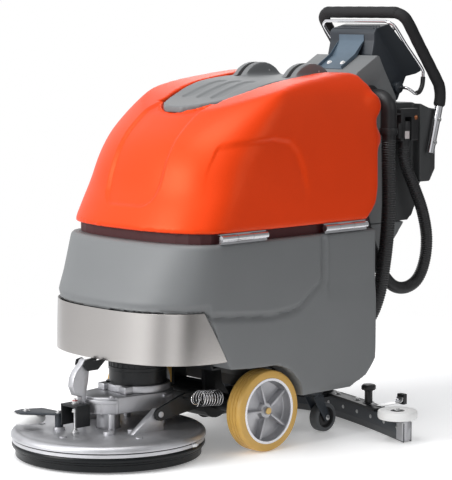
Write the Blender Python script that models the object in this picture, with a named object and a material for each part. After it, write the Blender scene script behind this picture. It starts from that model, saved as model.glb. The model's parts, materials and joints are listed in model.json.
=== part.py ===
"""Walk-behind floor scrubber-dryer, modelled as its separate pieces.

Frame: metres, +Z up, the floor at Z 0. The machine drives towards -Y, so its left side is +X.
Y is counted from the drive axle inside the functions; the empty "machine" moves the whole to its
origin, which is the middle of the machine's footprint.
"""

import math

import bmesh
import bpy
from mathutils import Matrix, Quaternion, Vector

# ---- driving dimensions ----------------------------------------------------------------------
GAP = 0.0003  # clearance between pieces that touch
RUN = 0.0010  # clearance round a piece that turns

WHEEL_R = 0.100
WHEEL_W = 0.050
WHEEL_OUT = 0.251  # outer face of each drive wheel, from the middle of the machine
TYRE_T = 0.020
RIM_R = WHEEL_R - TYRE_T
AXLE_R = 0.014
WHEEL_SIDES = 28

BODY_HALF = 0.262  # half width of both tanks
TANK_REAR = 0.375
TANK_NOSE = -0.277  # front of the solution tank at its top edge
TANK_FLARE = 0.064  # how far the nose leans forward on the way down to the skirt
TANK_SHOULDER = -0.150  # where the sides start to round into the nose
TANK_TOP = 0.520
TANK_LOW = 0.123
ARCH_TOP = 0.216
ARCH_FRONT = -0.136
SKIRT_TOP = 0.362
SKIRT_LOW = 0.240
SKIRT_T = 0.002
POCKET_WALL = 0.030
POCKET_FLOOR = 0.236
POCKET_FRONT = -0.110
ARCH_GAP = 0.012
MOTOR_WELL = 0.095
MOTOR_WELL_REAR = -0.128
BATTERY_TOP_GAP = 0.034
BATTERY_SIZE = (0.196, 0.420, TANK_TOP - POCKET_FLOOR - BATTERY_TOP_GAP)

SEAL_H = 0.025
RECOVERY_NOSE = -0.266
FRAME_FRONT = -0.322
RECOVERY_REAR = 0.380
RECOVERY_H = 0.366
RECOVERY_TOP = TANK_TOP + SEAL_H + RECOVERY_H
RECOVERY_WALL = 0.006
MOUTH_HALF = 0.105
LID_HALF = 0.128
LID_FRONT = -0.088
LID_HINGE = (0.308, RECOVERY_TOP + 0.001)
LID_CORNER = (  # inwards from the side and back from the front, from the side round to the front
    (-0.0005, 0.197), (0.006, 0.148), (0.015, 0.107), (0.028, 0.077), (0.058, 0.032), (0.083, 0.011),
    (0.098, -0.002), (0.098, -0.020),
)
LID_T = 0.016
HUMP_X = 0.090
HUMP_W = 0.046
HUMP_R = 0.079
HUMP_SLOT = 0.014
WELL_FLOOR = RECOVERY_TOP - 0.066

TIP_AXIS_Z = TANK_TOP + 0.014
TIP_R = 0.0075
TIP_PIN_R = 0.0030
TIP_LENGTH = 0.150
TIP_PLACES = (-0.093, 0.255)

COLUMN_HALF = 0.111
COLUMN_WALL = 0.004
SHELL_HALF = 0.1387
SHELL_REAR = 0.753
CONSOLE_HALF = 0.081

HANDLE_X = 0.150
HANDLE_R = 0.011
GRIP_R = 0.0155
BAIL_X = 0.129
BAIL_R = 0.004
BAIL_PIVOT = (0.628, 0.862)

DECK_REAR = -0.063
DECK_R = 0.236
DECK_Y = DECK_REAR - DECK_R
DECK_TOP = 0.066
DECK_T = 0.004
SKIRT_RING_R = 0.2335
BRUSH_R = 0.205
BRUSH_PLATE_T = 0.010
BRISTLE_H = 0.030
MOTOR_R = 0.072
MOTOR_Y = -0.205
DECK_BOSSES = ((-0.053, -0.409), (0.071, -0.357))
BOSS_H = 0.004
LUG_X = 0.120
LUG_PIN = (-0.239, 0.106)
ARM_PIVOT = (-0.060, 0.128)
PIN_R = 0.007

CASTER_X = 0.170
CASTER_SWIVEL = 0.232
CASTER_TRAIL = 0.036
CASTER_R = 0.0375
CASTER_W = 0.026

SQUEEGEE_END = (0.400, 0.331)
SQUEEGEE_MID = 0.452
SQUEEGEE_ARM_PIVOT = (0.170, 0.098)
SQUEEGEE_SWING_Y = 0.395
SQUEEGEE_BAR_Z = (0.030, 0.052)
BLADE_T = 0.003
ROLLER_R = 0.050
ROLLER_T = 0.022
SQUEEGEE_ROLLER = (0.388, 0.311, 0.070)
DECK_ROLLER = (-0.125, -0.452, 0.092)
KNOB_AT = (0.199, 0.408)

HOSE_R = 0.019
DRAIN_R = 0.0165
HOSE_X = 0.176
PORT_Y = 0.500
PORT_Z = 0.842
HOSE_TOP = 0.745
DRAIN_TOP = (0.134, 0.604, 0.722)
PORT_LOW_Y = 0.448
PORT_LOW_Z = 0.101
SPRING_X = 0.138

# The row's origin is the middle of the footprint: halfway from the deck's front to the shell's rear.
AXLE_Y = -((DECK_Y - DECK_R) + SHELL_REAR) / 2

# ---- materials -------------------------------------------------------------------------------
MATERIALS = {
    "orange_plastic": ((0.80, 0.075, 0.012), 0.45, 0.0),
    "grey_plastic": ((0.16, 0.165, 0.165), 0.50, 0.0),
    "slate_plastic": ((0.020, 0.026, 0.033), 0.45, 0.0),
    "black_plastic": ((0.012, 0.012, 0.013), 0.50, 0.0),
    "black_foam": ((0.014, 0.014, 0.015), 0.80, 0.0),
    "black_rubber": ((0.012, 0.012, 0.012), 0.70, 0.0),
    "grey_rubber": ((0.11, 0.11, 0.10), 0.60, 0.0),
    "amber_rubber": ((0.55, 0.30, 0.045), 0.40, 0.0),
    "white_plastic": ((0.80, 0.80, 0.79), 0.40, 0.0),
    "black_paint": ((0.015, 0.017, 0.018), 0.45, 0.3),
    "slate_paint": ((0.10, 0.13, 0.16), 0.40, 0.3),
    "stainless": ((0.62, 0.60, 0.58), 0.28, 1.0),
    "chrome": ((0.80, 0.80, 0.82), 0.12, 1.0),
    "cast_aluminium": ((0.50, 0.50, 0.52), 0.45, 0.9),
    "spring_steel": ((0.55, 0.55, 0.55), 0.30, 1.0),
    "bristle": ((0.05, 0.06, 0.09), 0.85, 0.0),
    "battery_case": ((0.03, 0.03, 0.035), 0.50, 0.0),
}


def clear_scene():
    for obj in list(bpy.data.objects):
        bpy.data.objects.remove(obj)


def make_materials():
    for name, (colour, roughness, metallic) in MATERIALS.items():
        material = bpy.data.materials.new(name)
        material.use_nodes = True
        shader = material.node_tree.nodes["Principled BSDF"]
        shader.inputs["Base Color"].default_value = (*colour, 1.0)
        shader.inputs["Roughness"].default_value = roughness
        shader.inputs["Metallic"].default_value = metallic


# ---- shapes: each helper returns a closed bmesh ----------------------------------------------
AXES = {"X": Vector((1, 0, 0)), "Y": Vector((0, 1, 0)), "Z": Vector((0, 0, 1))}


def box(low, high):
    """A box between two corners."""
    low, high = Vector(low), Vector(high)
    mesh = bmesh.new()
    bmesh.ops.create_cube(mesh, size=1.0, matrix=Matrix.Translation((low + high) / 2))
    middle = (low + high) / 2
    size = high - low
    for vert in mesh.verts:
        vert.co = middle + Vector([(vert.co[i] - middle[i]) * size[i] for i in range(3)])
    return mesh


def rod(start, end, radius, sides=16, end_radius=None):
    """A cylinder, or a cone, between two points."""
    start, end = Vector(start), Vector(end)
    way = end - start
    turn = way.to_track_quat("Z", "Y").to_matrix().to_4x4()
    mesh = bmesh.new()
    bmesh.ops.create_cone(
        mesh,
        cap_ends=True,
        segments=sides,
        radius1=radius,
        radius2=radius if end_radius is None else end_radius,
        depth=way.length,
        matrix=Matrix.Translation((start + end) / 2) @ turn,
    )
    return mesh


def turned(profile, centre, axis="Z", sides=32):
    """A closed (radius, height) profile spun round an axis through the centre."""
    mesh = bmesh.new()
    verts = [mesh.verts.new((radius, 0, height)) for radius, height in profile]
    edges = [mesh.edges.new((verts[i - 1], verts[i])) for i in range(len(verts))]
    bmesh.ops.spin(
        mesh, geom=verts + edges, cent=(0, 0, 0), axis=(0, 0, 1), angle=math.tau, steps=sides
    )
    bmesh.ops.remove_doubles(mesh, verts=mesh.verts, dist=1e-6)
    flat = [edge for edge in mesh.edges if len(edge.link_faces) == 0]
    bmesh.ops.delete(mesh, geom=flat, context="EDGES")
    thin = [face for face in mesh.faces if face.calc_area() < 1e-12]
    bmesh.ops.delete(mesh, geom=thin, context="FACES")
    turn = AXES[axis].to_track_quat("Z", "Y").to_matrix().to_4x4()
    bmesh.ops.transform(mesh, matrix=Matrix.Translation(centre) @ turn, verts=mesh.verts)
    bmesh.ops.recalc_face_normals(mesh, faces=mesh.faces)
    return mesh


def prism(outline, start, end, axis="X"):
    """A flat outline pushed along one axis; the outline's numbers are the other two axes in order."""
    across = "XYZ".index(axis)
    rest = [i for i in range(3) if i != across]
    mesh = bmesh.new()
    verts = []
    for first, second in outline:
        point = [0, 0, 0]
        point[across], point[rest[0]], point[rest[1]] = start, first, second
        verts.append(mesh.verts.new(point))
    face = mesh.faces.new(verts)
    pushed = bmesh.ops.extrude_face_region(mesh, geom=[face])["geom"]
    moved = [item for item in pushed if isinstance(item, bmesh.types.BMVert)]
    bmesh.ops.translate(mesh, verts=moved, vec=AXES[axis] * (end - start))
    bmesh.ops.recalc_face_normals(mesh, faces=mesh.faces)
    return mesh


def loft(rings):
    """A skin through rings that have the same number of points, with flat caps."""
    mesh = bmesh.new()
    rows = [[mesh.verts.new(point) for point in ring] for ring in rings]
    for low, high in zip(rows, rows[1:]):
        for i in range(len(low)):
            mesh.faces.new((low[i - 1], low[i], high[i], high[i - 1]))
    mesh.faces.new(rows[0])
    mesh.faces.new(rows[-1])
    bmesh.ops.recalc_face_normals(mesh, faces=mesh.faces)
    return mesh


def swept(points, radius, sides=10, bore=0.0):
    """A round bar along a path, or a sleeve where a bore is given."""
    points = [Vector(point) for point in points]
    ways = [(points[min(i + 1, len(points) - 1)] - points[max(i - 1,
                                                              0)]).normalized() for i in range(len(points))]
    side = ways[0].orthogonal().normalized()
    rings = {radius: [], bore: []}
    for i, (point, way) in enumerate(zip(points, ways)):
        if i:
            side = ways[i - 1].rotation_difference(way) @ side
        for size in rings:
            rings[size].append(
                [point + (Quaternion(way, math.tau * k / sides) @ side) * size for k in range(sides)]
            )
    if not bore:
        return loft(rings[radius])
    outer, inner = rings[radius], rings[bore]
    mesh = bmesh.new()
    rows = [[mesh.verts.new(point) for point in ring] for ring in outer + inner[::-1]]
    for low, high in zip(rows, rows[1:] + rows[:1]):
        for i in range(sides):
            mesh.faces.new((low[i - 1], low[i], high[i], high[i - 1]))
    bmesh.ops.recalc_face_normals(mesh, faces=mesh.faces)
    return mesh


def moved(mesh, matrix):
    bmesh.ops.transform(mesh, matrix=matrix, verts=mesh.verts)
    return mesh


def mirrored(mesh):
    """The same shape on the other side of the machine."""
    copy = mesh.copy()
    bmesh.ops.scale(copy, vec=(-1, 1, 1), verts=copy.verts)
    bmesh.ops.reverse_faces(copy, faces=copy.faces)
    return copy


def combined(base, tools):
    """The base after each (operation, mesh) has been applied to it by a Boolean modifier."""
    scratch = [scratch_object(base)]
    for operation, mesh in tools:
        helper = scratch_object(mesh)
        helper.hide_render = True
        scratch.append(helper)
        modifier = scratch[0].modifiers.new(operation, "BOOLEAN")
        modifier.operation = operation
        modifier.object = helper
    bpy.context.view_layer.update()
    graph = bpy.context.evaluated_depsgraph_get()
    result = bmesh.new()
    result.from_object(scratch[0], graph)
    for obj in scratch:
        bpy.data.objects.remove(obj)
    bmesh.ops.remove_doubles(result, verts=result.verts, dist=1e-6)
    return result


def scratch_object(mesh):
    data = bpy.data.meshes.new("scratch")
    mesh.to_mesh(data)
    obj = bpy.data.objects.new("scratch", data)
    bpy.context.scene.collection.objects.link(obj)
    return obj


def fused(*meshes):
    return combined(meshes[0], [("UNION", mesh) for mesh in meshes[1:]])


def cut(base, *meshes):
    return combined(base, [("DIFFERENCE", mesh) for mesh in meshes])


def rounded(mesh, width, test=None, segments=2):
    """The mesh with its sharp edges, or those that pass the test, bevelled round."""
    edges = []
    for edge in mesh.edges:
        if len(edge.link_faces) == 2 and edge.calc_face_angle(0) > math.radians(35):
            if test is None or test(*[vert.co for vert in edge.verts]):
                edges.append(edge)
    bmesh.ops.bevel(mesh, geom=edges, offset=width, segments=segments, affect="EDGES", profile=0.5)
    return mesh


def arc(centre, radius, start, end, steps):
    """Points of a circle's arc in a plane, from one angle in degrees to another."""
    turns = [math.radians(start + (end - start) * i / steps) for i in range(steps + 1)]
    return [(centre[0] + radius * math.cos(t), centre[1] + radius * math.sin(t)) for t in turns]


def smooth_path(points, steps=4):
    """A Catmull-Rom curve through the points."""
    points = [Vector(point) for point in points]
    padded = [2 * points[0] - points[1]] + points + [2 * points[-1] - points[-2]]
    path = [points[0]]
    for a, b, c, d in zip(padded, padded[1:], padded[2:], padded[3:]):
        for i in range(1, steps + 1):
            t = i / steps
            path.append(
                0.5 * (2 * b + (c - a) * t + (2 * a - 5 * b + 4 * c - d) * t**2 + (3 * b - 3 * c + d - a) * t**3)
            )
    return path


# ---- the bodies that move, each with an empty on its joint -------------------------------------
def empty(name, place, parent=None):
    obj = bpy.data.objects.new(name, None)
    obj.location = place
    obj.parent = parent
    bpy.context.scene.collection.objects.link(obj)
    return obj


class Machine:
    """Keeps the empties of the bodies, and hangs each finished piece on one of them."""

    def __init__(self):
        self.root = empty("machine", (0, AXLE_Y, 0))
        self.pivots = {}

    def body(self, name, pivot):
        self.pivots[name] = (empty(name + "_pivot", pivot, self.root), Vector(pivot))

    def piece(self, name, mesh, material, body=None, smooth=True):
        holder, pivot = self.pivots.get(body, (self.root, Vector((0, 0, 0))))
        bmesh.ops.translate(mesh, verts=mesh.verts, vec=-pivot)
        data = bpy.data.meshes.new(name)
        mesh.to_mesh(data)
        if smooth:
            data.shade_smooth()
            data.set_sharp_from_angle(angle=math.radians(35))
        data.materials.append(bpy.data.materials[material])
        obj = bpy.data.objects.new(name, data)
        obj.parent = holder
        bpy.context.scene.collection.objects.link(obj)
        return obj


# ---- the body: tanks, skirt, frame and batteries -----------------------------------------------
def plan(half, nose, rear, shoulder, corner=0.014, power=2.5, z=0.0, steps=7):
    """A tank's outline seen from above: square at the rear with round corners, rounded to the nose."""
    side = [(half - corner + corner * math.cos(t), rear - corner + corner * math.sin(t))
            for t in [math.radians(90 - 45 * i) for i in range(3)]]
    for i in range(steps + 1):
        t = math.radians(90 * i / steps)
        x = half * math.cos(t) ** (2 / power) if i < steps else 0.0
        side.append((x, shoulder - (shoulder - nose) * math.sin(t) ** (2 / power)))
    other = [(-x, y) for x, y in side[-2::-1]]
    return [(x, y, z) for x, y in side + other]


def solution_tank(machine):
    """The grey lower tank: its double walls hold the clean water, round a pocket for the batteries."""
    levels = [
        (TANK_LOW, BODY_HALF - 0.012, TANK_NOSE - TANK_FLARE),
        (TANK_LOW + 0.03, BODY_HALF, TANK_NOSE - TANK_FLARE),
        (SKIRT_TOP, BODY_HALF, TANK_NOSE - TANK_FLARE),
        (TANK_TOP - 0.008, BODY_HALF, TANK_NOSE),
        (TANK_TOP, BODY_HALF - 0.008, TANK_NOSE + 0.008),
    ]
    shell = loft([plan(half, nose, TANK_REAR, TANK_SHOULDER, z=z) for z, half, nose in levels])
    front_cut = [(-0.7, SKIRT_TOP), (-0.215, SKIRT_TOP), (ARCH_FRONT, ARCH_TOP + 0.004)]
    arch = wheel_arch(0.0)[::-1]
    below = prism(front_cut + [(-0.10, ARCH_TOP)] + arch + [(arch[-1][0], 0.05), (-0.7, 0.05)], -0.4, 0.4)
    motor_well = box((-MOTOR_WELL, -0.7, 0.1), (MOTOR_WELL, MOTOR_WELL_REAR, SKIRT_TOP))
    corner = [(TANK_REAR + 0.02, 0.05), (TANK_REAR + 0.02, 0.235), (TANK_REAR, 0.225), (0.366, 0.188),
              (0.333, 0.150), (0.290, 0.130), (0.240, 0.05)]
    rear_corner = prism(corner, -0.4, 0.4)
    pocket = box((-BODY_HALF + POCKET_WALL, POCKET_FRONT, POCKET_FLOOR),
                 (BODY_HALF - POCKET_WALL, TANK_REAR - POCKET_WALL, TANK_TOP + 0.05))
    front_well = loft([
        plan(BODY_HALF - POCKET_WALL, TANK_NOSE + POCKET_WALL + 0.02, 0.0, TANK_SHOULDER, z=z)
        for z in (SKIRT_TOP + 0.05, TANK_TOP + 0.05)
    ])
    back = [(TANK_REAR - 0.02, TANK_TOP - 0.011), (0.635, TANK_TOP - 0.011), (0.633, TANK_TOP - 0.020),
            (0.588, TANK_TOP - 0.068), (0.560, TANK_TOP - 0.095), (0.480, TANK_TOP - 0.180),
            (TANK_REAR - 0.02, TANK_TOP - 0.220)]
    shelf = prism(back, -COLUMN_HALF, COLUMN_HALF)
    tank = combined(shell, [
        ("DIFFERENCE", below), ("DIFFERENCE", rear_corner), ("DIFFERENCE", motor_well), ("UNION", shelf),
        ("DIFFERENCE", pocket), ("DIFFERENCE", front_well),
    ])
    machine.piece("solution_tank", tank, "grey_plastic")


def wheel_arch(drop):
    """The arch over the wheels from its low rear end to its top, drawn in by the drop."""
    radius = WHEEL_R + ARCH_GAP - drop
    low = math.degrees(math.asin((TANK_LOW - drop - WHEEL_R) / radius))
    return arc((0, WHEEL_R), radius, low, 92, 5)


def frame_path(drop):
    """The underside of the tank from the rear forward, lowered by the drop."""
    return [
        (0.285, TANK_LOW - drop), *wheel_arch(drop), (-0.100, ARCH_TOP - 0.001 - drop),
        (ARCH_FRONT - 0.002 - drop * 0.7, ARCH_TOP - 0.001 - drop), (-0.217 - drop * 0.8,
                                                                     SKIRT_TOP - drop * 0.9),
        (FRAME_FRONT, SKIRT_TOP - drop),
    ]


def chassis_frame(machine):
    """A bent steel plate under the tank, with bosses for the casters and lugs for the two lifts."""
    plate_t = 0.005
    outline = frame_path(GAP * 2) + frame_path(plate_t)[::-1]
    plate = prism(outline, -0.200, 0.200)
    parts = [plate]
    low = TANK_LOW - plate_t
    for x in (-CASTER_X, CASTER_X):
        parts.append(rod((x, CASTER_SWIVEL, low - 0.010), (x, CASTER_SWIVEL, low + 0.002), 0.028, 20))
    pivot_y, pivot_z = ARM_PIVOT
    for x in (-LUG_X + 0.022, LUG_X - 0.022):
        cheek = [(pivot_y - 0.016, pivot_z - 0.014), (pivot_y + 0.016, pivot_z - 0.014),
                 (pivot_y + 0.020, ARCH_TOP - 0.004), (pivot_y - 0.020, ARCH_TOP - 0.004)]
        parts.append(prism(cheek, x - 0.005, x + 0.005))
    pivot_y, pivot_z = SQUEEGEE_ARM_PIVOT
    for x in (-0.045, 0.045):
        cheek = [(pivot_y - 0.016, pivot_z - 0.014), (pivot_y + 0.016, pivot_z - 0.014),
                 (pivot_y + 0.016, low + 0.002), (pivot_y - 0.016, low + 0.002)]
        parts.append(prism(cheek, x - 0.004, x + 0.004))
    parts.append(rod((-0.128, *ARM_PIVOT), (SPRING_X + 0.006, *ARM_PIVOT), 0.006, 12))
    parts.append(rod((-0.049, *SQUEEGEE_ARM_PIVOT), (0.049, *SQUEEGEE_ARM_PIVOT), 0.006, 12))
    well = box((-MOTOR_WELL + 0.004, -0.7, 0.15), (MOTOR_WELL - 0.004, MOTOR_WELL_REAR + 0.004,
                                                   SKIRT_TOP - 0.0055))
    within = loft([plan(BODY_HALF - 0.008, TANK_NOSE - TANK_FLARE + 0.008, TANK_REAR, TANK_SHOULDER, z=z)
                   for z in (0.05, 0.45)])
    tools = [("DIFFERENCE", well), ("INTERSECT", within)] + [("UNION", part) for part in parts[1:]]
    machine.piece("chassis_frame", combined(plate, tools), "black_paint")


def front_skirt(machine):
    """The stainless apron: one bent sheet round the nose, open at the rear and along its bottom."""
    def ring(z, inset):
        nose = TANK_NOSE - TANK_FLARE - 0.006 * (SKIRT_TOP - z) / (SKIRT_TOP - SKIRT_LOW)
        return plan(BODY_HALF - 0.001 - inset, nose + inset, 0.0, TANK_SHOULDER, z=z, steps=9)
    outer = loft([ring(SKIRT_LOW, 0), ring(SKIRT_TOP - GAP, 0)])
    inner = loft([ring(SKIRT_LOW - 0.01, SKIRT_T), ring(SKIRT_TOP + 0.01, SKIRT_T)])
    slant = [(-0.215 - GAP * 2, SKIRT_TOP + 0.02), (-0.215 - GAP * 2, SKIRT_TOP), (-0.1485 - GAP * 2,
                                                                                   SKIRT_LOW),
             (-0.14, SKIRT_LOW - 0.02), (0.2, SKIRT_LOW - 0.02), (0.2, SKIRT_TOP + 0.02)]
    sheet = cut(outer, inner, prism(slant, -0.4, 0.4))
    machine.piece("front_skirt", sheet, "stainless")


def batteries(machine):
    wide, long, high = BATTERY_SIZE
    middle = (POCKET_FRONT + TANK_REAR - POCKET_WALL) / 2
    for side, name in ((1, "battery_left"), (-1, "battery_right")):
        x = side * (wide / 2 + 0.004)
        floor = POCKET_FLOOR + GAP
        case = box((x - wide / 2, middle - long / 2, floor), (x + wide / 2, middle + long / 2,
                                                              floor + high))
        case = rounded(case, 0.006, segments=1)
        posts = [rod((x - 0.06, middle + end * 0.16, floor + high - 0.002),
                     (x - 0.06, middle + end * 0.16, floor + high + 0.010), 0.009, 12) for end in (-1, 1)]
        machine.piece(name, fused(case, *posts), "battery_case")


def tank_seal(machine):
    """The dark spacer rim between the two tanks."""
    def ring(inset, z):
        return plan(BODY_HALF - 0.020 - inset, TANK_NOSE + 0.030 + inset, TANK_REAR - 0.012 - inset,
                    TANK_SHOULDER, z=z)
    low, high = TANK_TOP + GAP, TANK_TOP + SEAL_H - GAP
    outer = loft([ring(0, low), ring(0, high)])
    inner = loft([ring(0.008, low - 0.01), ring(0.008, high + 0.01)])
    machine.piece("tank_seal", cut(outer, inner), "black_rubber")


def tip_hinges(machine):
    """The two hinges that the recovery tank tips over on, each a base with the pin and a flap."""
    axis_x = BODY_HALF - 0.002
    third = TIP_LENGTH / 3
    for y, name in zip(TIP_PLACES, ("front", "rear")):
        low, high = y - TIP_LENGTH / 2, y + TIP_LENGTH / 2
        leaf = box((axis_x - 0.015, low, TANK_TOP + GAP), (axis_x, high, TANK_TOP + 0.003))
        web = box((axis_x - 0.006, low, TANK_TOP + GAP), (axis_x, high, TIP_AXIS_Z))
        middle = rod((axis_x, y - third / 2 - RUN, TIP_AXIS_Z), (axis_x, y + third / 2 + RUN, TIP_AXIS_Z),
                     TIP_R + RUN, 16)
        ends = rod((axis_x, low, TIP_AXIS_Z), (axis_x, high, TIP_AXIS_Z), TIP_R, 16)
        pin = rod((axis_x, low + 0.01, TIP_AXIS_Z), (axis_x, high - 0.01, TIP_AXIS_Z), TIP_PIN_R, 12)
        base = combined(leaf, [("UNION", web), ("UNION", ends), ("DIFFERENCE", middle), ("UNION", pin)])
        machine.piece("hinge_base_" + name, base, "chrome")
        knuckle = rod((axis_x, y - third / 2, TIP_AXIS_Z), (axis_x, y + third / 2, TIP_AXIS_Z), TIP_R, 16)
        top = TANK_TOP + SEAL_H
        flap_leaf = box((axis_x - 0.015, low, top - 0.003), (axis_x - 0.004, high, top - GAP))
        flap_web = box((axis_x - 0.010, y - third / 2, TIP_AXIS_Z), (axis_x - 0.004, y + third / 2,
                                                                     top - 0.001))
        bore = rod((axis_x, y - third, TIP_AXIS_Z), (axis_x, y + third, TIP_AXIS_Z), TIP_PIN_R + 0.0006, 12)
        flap = combined(flap_leaf, [("UNION", flap_web), ("UNION", knuckle), ("DIFFERENCE", bore)])
        machine.piece("hinge_flap_" + name, flap, "chrome", "recovery_tank")


def recovery_top(drop):
    """The side view of the recovery tank's top, from the rear forward."""
    return [
        (RECOVERY_REAR - 0.010, RECOVERY_TOP - 0.030 - drop), (0.352, RECOVERY_TOP - 0.004 - drop),
        (0.300, RECOVERY_TOP - drop), (0.212, RECOVERY_TOP - 0.009 - drop),
        (0.111, RECOVERY_TOP - 0.024 - drop),
        (0.023, RECOVERY_TOP - 0.047 - drop), (-0.050, RECOVERY_TOP - 0.072 - drop),
        (-0.120, RECOVERY_TOP - 0.100 - drop), (-0.200, RECOVERY_TOP - 0.145 - drop),
        (-0.700, RECOVERY_TOP - 0.500 - drop),
    ]


def recovery_skin(inset):
    """The recovery tank's outer skin, or the same drawn in by a wall."""
    bottom = TANK_TOP + SEAL_H
    levels = [
        (0.000, BODY_HALF - 0.008, RECOVERY_NOSE + 0.007, 2.5),
        (0.008, BODY_HALF, RECOVERY_NOSE, 2.5),
        (0.095, BODY_HALF, RECOVERY_NOSE + 0.041, 2.5),
        (0.155, BODY_HALF - 0.001, RECOVERY_NOSE + 0.062, 2.5),
        (0.205, BODY_HALF - 0.003, RECOVERY_NOSE + 0.088, 2.4),
        (0.245, BODY_HALF - 0.007, RECOVERY_NOSE + 0.124, 2.3),
        (0.290, BODY_HALF - 0.015, RECOVERY_NOSE + 0.184, 2.2),
        (0.330, BODY_HALF - 0.030, RECOVERY_NOSE + 0.262, 2.2),
        (0.372, BODY_HALF - 0.062, RECOVERY_NOSE + 0.385, 2.2),
    ]
    rings = []
    for rise, half, nose, power in levels:
        rings.append(plan(half - inset, nose + inset, RECOVERY_REAR - inset,
                          TANK_SHOULDER + 0.02 + rise * 0.62,
                          power=power, z=bottom + rise + inset * (1 - 2 * min(1, rise / 0.2))))
    skin = loft(rings)
    above = prism(recovery_top(inset) + [(-0.700, 1.2), (RECOVERY_REAR + 0.1, 1.2),
                                         (RECOVERY_REAR + 0.1, RECOVERY_TOP - 0.030 - inset)], -0.4, 0.4)
    rear_low = [(RECOVERY_REAR + 0.1, bottom - 0.145), (RECOVERY_REAR + 0.1, bottom + 0.080),
                (RECOVERY_REAR - inset, bottom + 0.080), (0.366 - inset, bottom + 0.035 + inset), (0.330 - inset, bottom + inset - 0.001), (0.330 - inset, bottom - 0.145)]
    return cut(skin, above, prism(rear_low, -0.4, 0.4))


def lid_channel(drop, spread):
    """The space that the lid lies in, with a well behind its hinge where its tail swings down."""
    floor = [(y, z) for y, z in lid_line(-LID_T - GAP - drop) if y < LID_HINGE[0]]
    start = (floor[0][0] - 0.012 - drop, floor[0][1] - 0.002)
    step_y = LID_HINGE[0] - 0.036 - drop
    step = [(step_y, floor[-1][1] + 0.0002), (step_y, WELL_FLOOR - drop), (RECOVERY_REAR + 0.05,
                                                                           WELL_FLOOR - drop)]
    outline = [start] + floor + step + [(RECOVERY_REAR + 0.05, 1.1), (start[0], 1.1)]
    return prism(outline, -LID_HALF - spread, LID_HALF + spread)


def recovery_tank(machine):
    """The orange upper tank for the dirty water, hollow, with a mouth under the lid."""
    channel = lid_channel(0.0, 0.003)
    mouth = box((-MOUTH_HALF, LID_FRONT + 0.045, RECOVERY_TOP - 0.161), (MOUTH_HALF, LID_HINGE[0] - 0.115, 1.1))
    tools = [("DIFFERENCE", channel)]
    for z in (RECOVERY_TOP - 0.167, RECOVERY_TOP - 0.084):
        for side in (-1, 1):
            bulge = rod((side * 0.195, RECOVERY_REAR - 0.010, z), (side * 0.236, RECOVERY_REAR - 0.010, z),
                        0.034, 14)
            tools.append(("UNION", bulge))
    cavity = cut(recovery_skin(RECOVERY_WALL), lid_channel(RECOVERY_WALL, 0.003 + RECOVERY_WALL))
    tools += [("DIFFERENCE", cavity), ("DIFFERENCE", mouth)]
    for x in (-HUMP_X, HUMP_X):
        y, z = LID_HINGE
        lug = prism([(y - 0.028, WELL_FLOOR - 0.004), (y + 0.028, WELL_FLOOR - 0.004), (y + 0.009,
                                                                                        z + 0.009),
                     (y - 0.009, z + 0.009)], x - HUMP_SLOT / 2 + RUN, x + HUMP_SLOT / 2 - RUN)
        tools.append(("UNION", lug))
        tools.append(("UNION", rod((x - 0.016, *LID_HINGE), (x + 0.016, *LID_HINGE), 0.003, 12)))
    machine.piece("recovery_tank", combined(recovery_skin(0.0), tools), "orange_plastic", "recovery_tank")


# ---- the lid -----------------------------------------------------------------------------------
def lid_line(rise):
    """The side view of the lid's top, raised or lowered, from the front to the rear."""
    top = RECOVERY_TOP + rise
    return [(LID_FRONT - 0.002, top - 0.077), (0.002, top - 0.058), (0.062, top - 0.038), (0.124, top - 0.022),
            (0.220, top - 0.012), (LID_HINGE[0] + 0.045, top - 0.011)]


def lid(machine):
    """The grey lid, with two humps that straddle the tank's hinge lugs."""
    top, under = lid_line(0.0), lid_line(-LID_T)
    plate = prism(top + under[::-1], -LID_HALF, LID_HALF)
    front_trim = []
    for side in (-1, 1):
        corner = [(side * (LID_HALF + 0.02), LID_FRONT - 0.02), (side * (LID_HALF + 0.02), LID_FRONT + 0.197)]
        corner += [(side * (LID_HALF - inwards), LID_FRONT + back) for inwards, back in LID_CORNER]
        front_trim.append(prism(corner, RECOVERY_TOP - 0.2, RECOVERY_TOP + 0.1, "Z"))
    tools = [("DIFFERENCE", trim) for trim in front_trim]
    centre = (LID_HINGE[0] - 0.024, RECOVERY_TOP + 0.022 - HUMP_R)
    for x in (-HUMP_X, HUMP_X):
        hump = prism(arc(centre, HUMP_R, 24, 156, 12), x - HUMP_W / 2, x + HUMP_W / 2)
        slot = prism(arc(centre, HUMP_R + 0.01, 10, 170, 8), x - HUMP_SLOT / 2, x + HUMP_SLOT / 2)
        bore = rod((x - 0.0175, *LID_HINGE), (x + 0.0175, *LID_HINGE), 0.0036, 12)
        tools += [("UNION", hump), ("DIFFERENCE", slot), ("DIFFERENCE", bore)]
    machine.piece("lid", combined(plate, tools), "grey_plastic", "lid")


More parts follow.
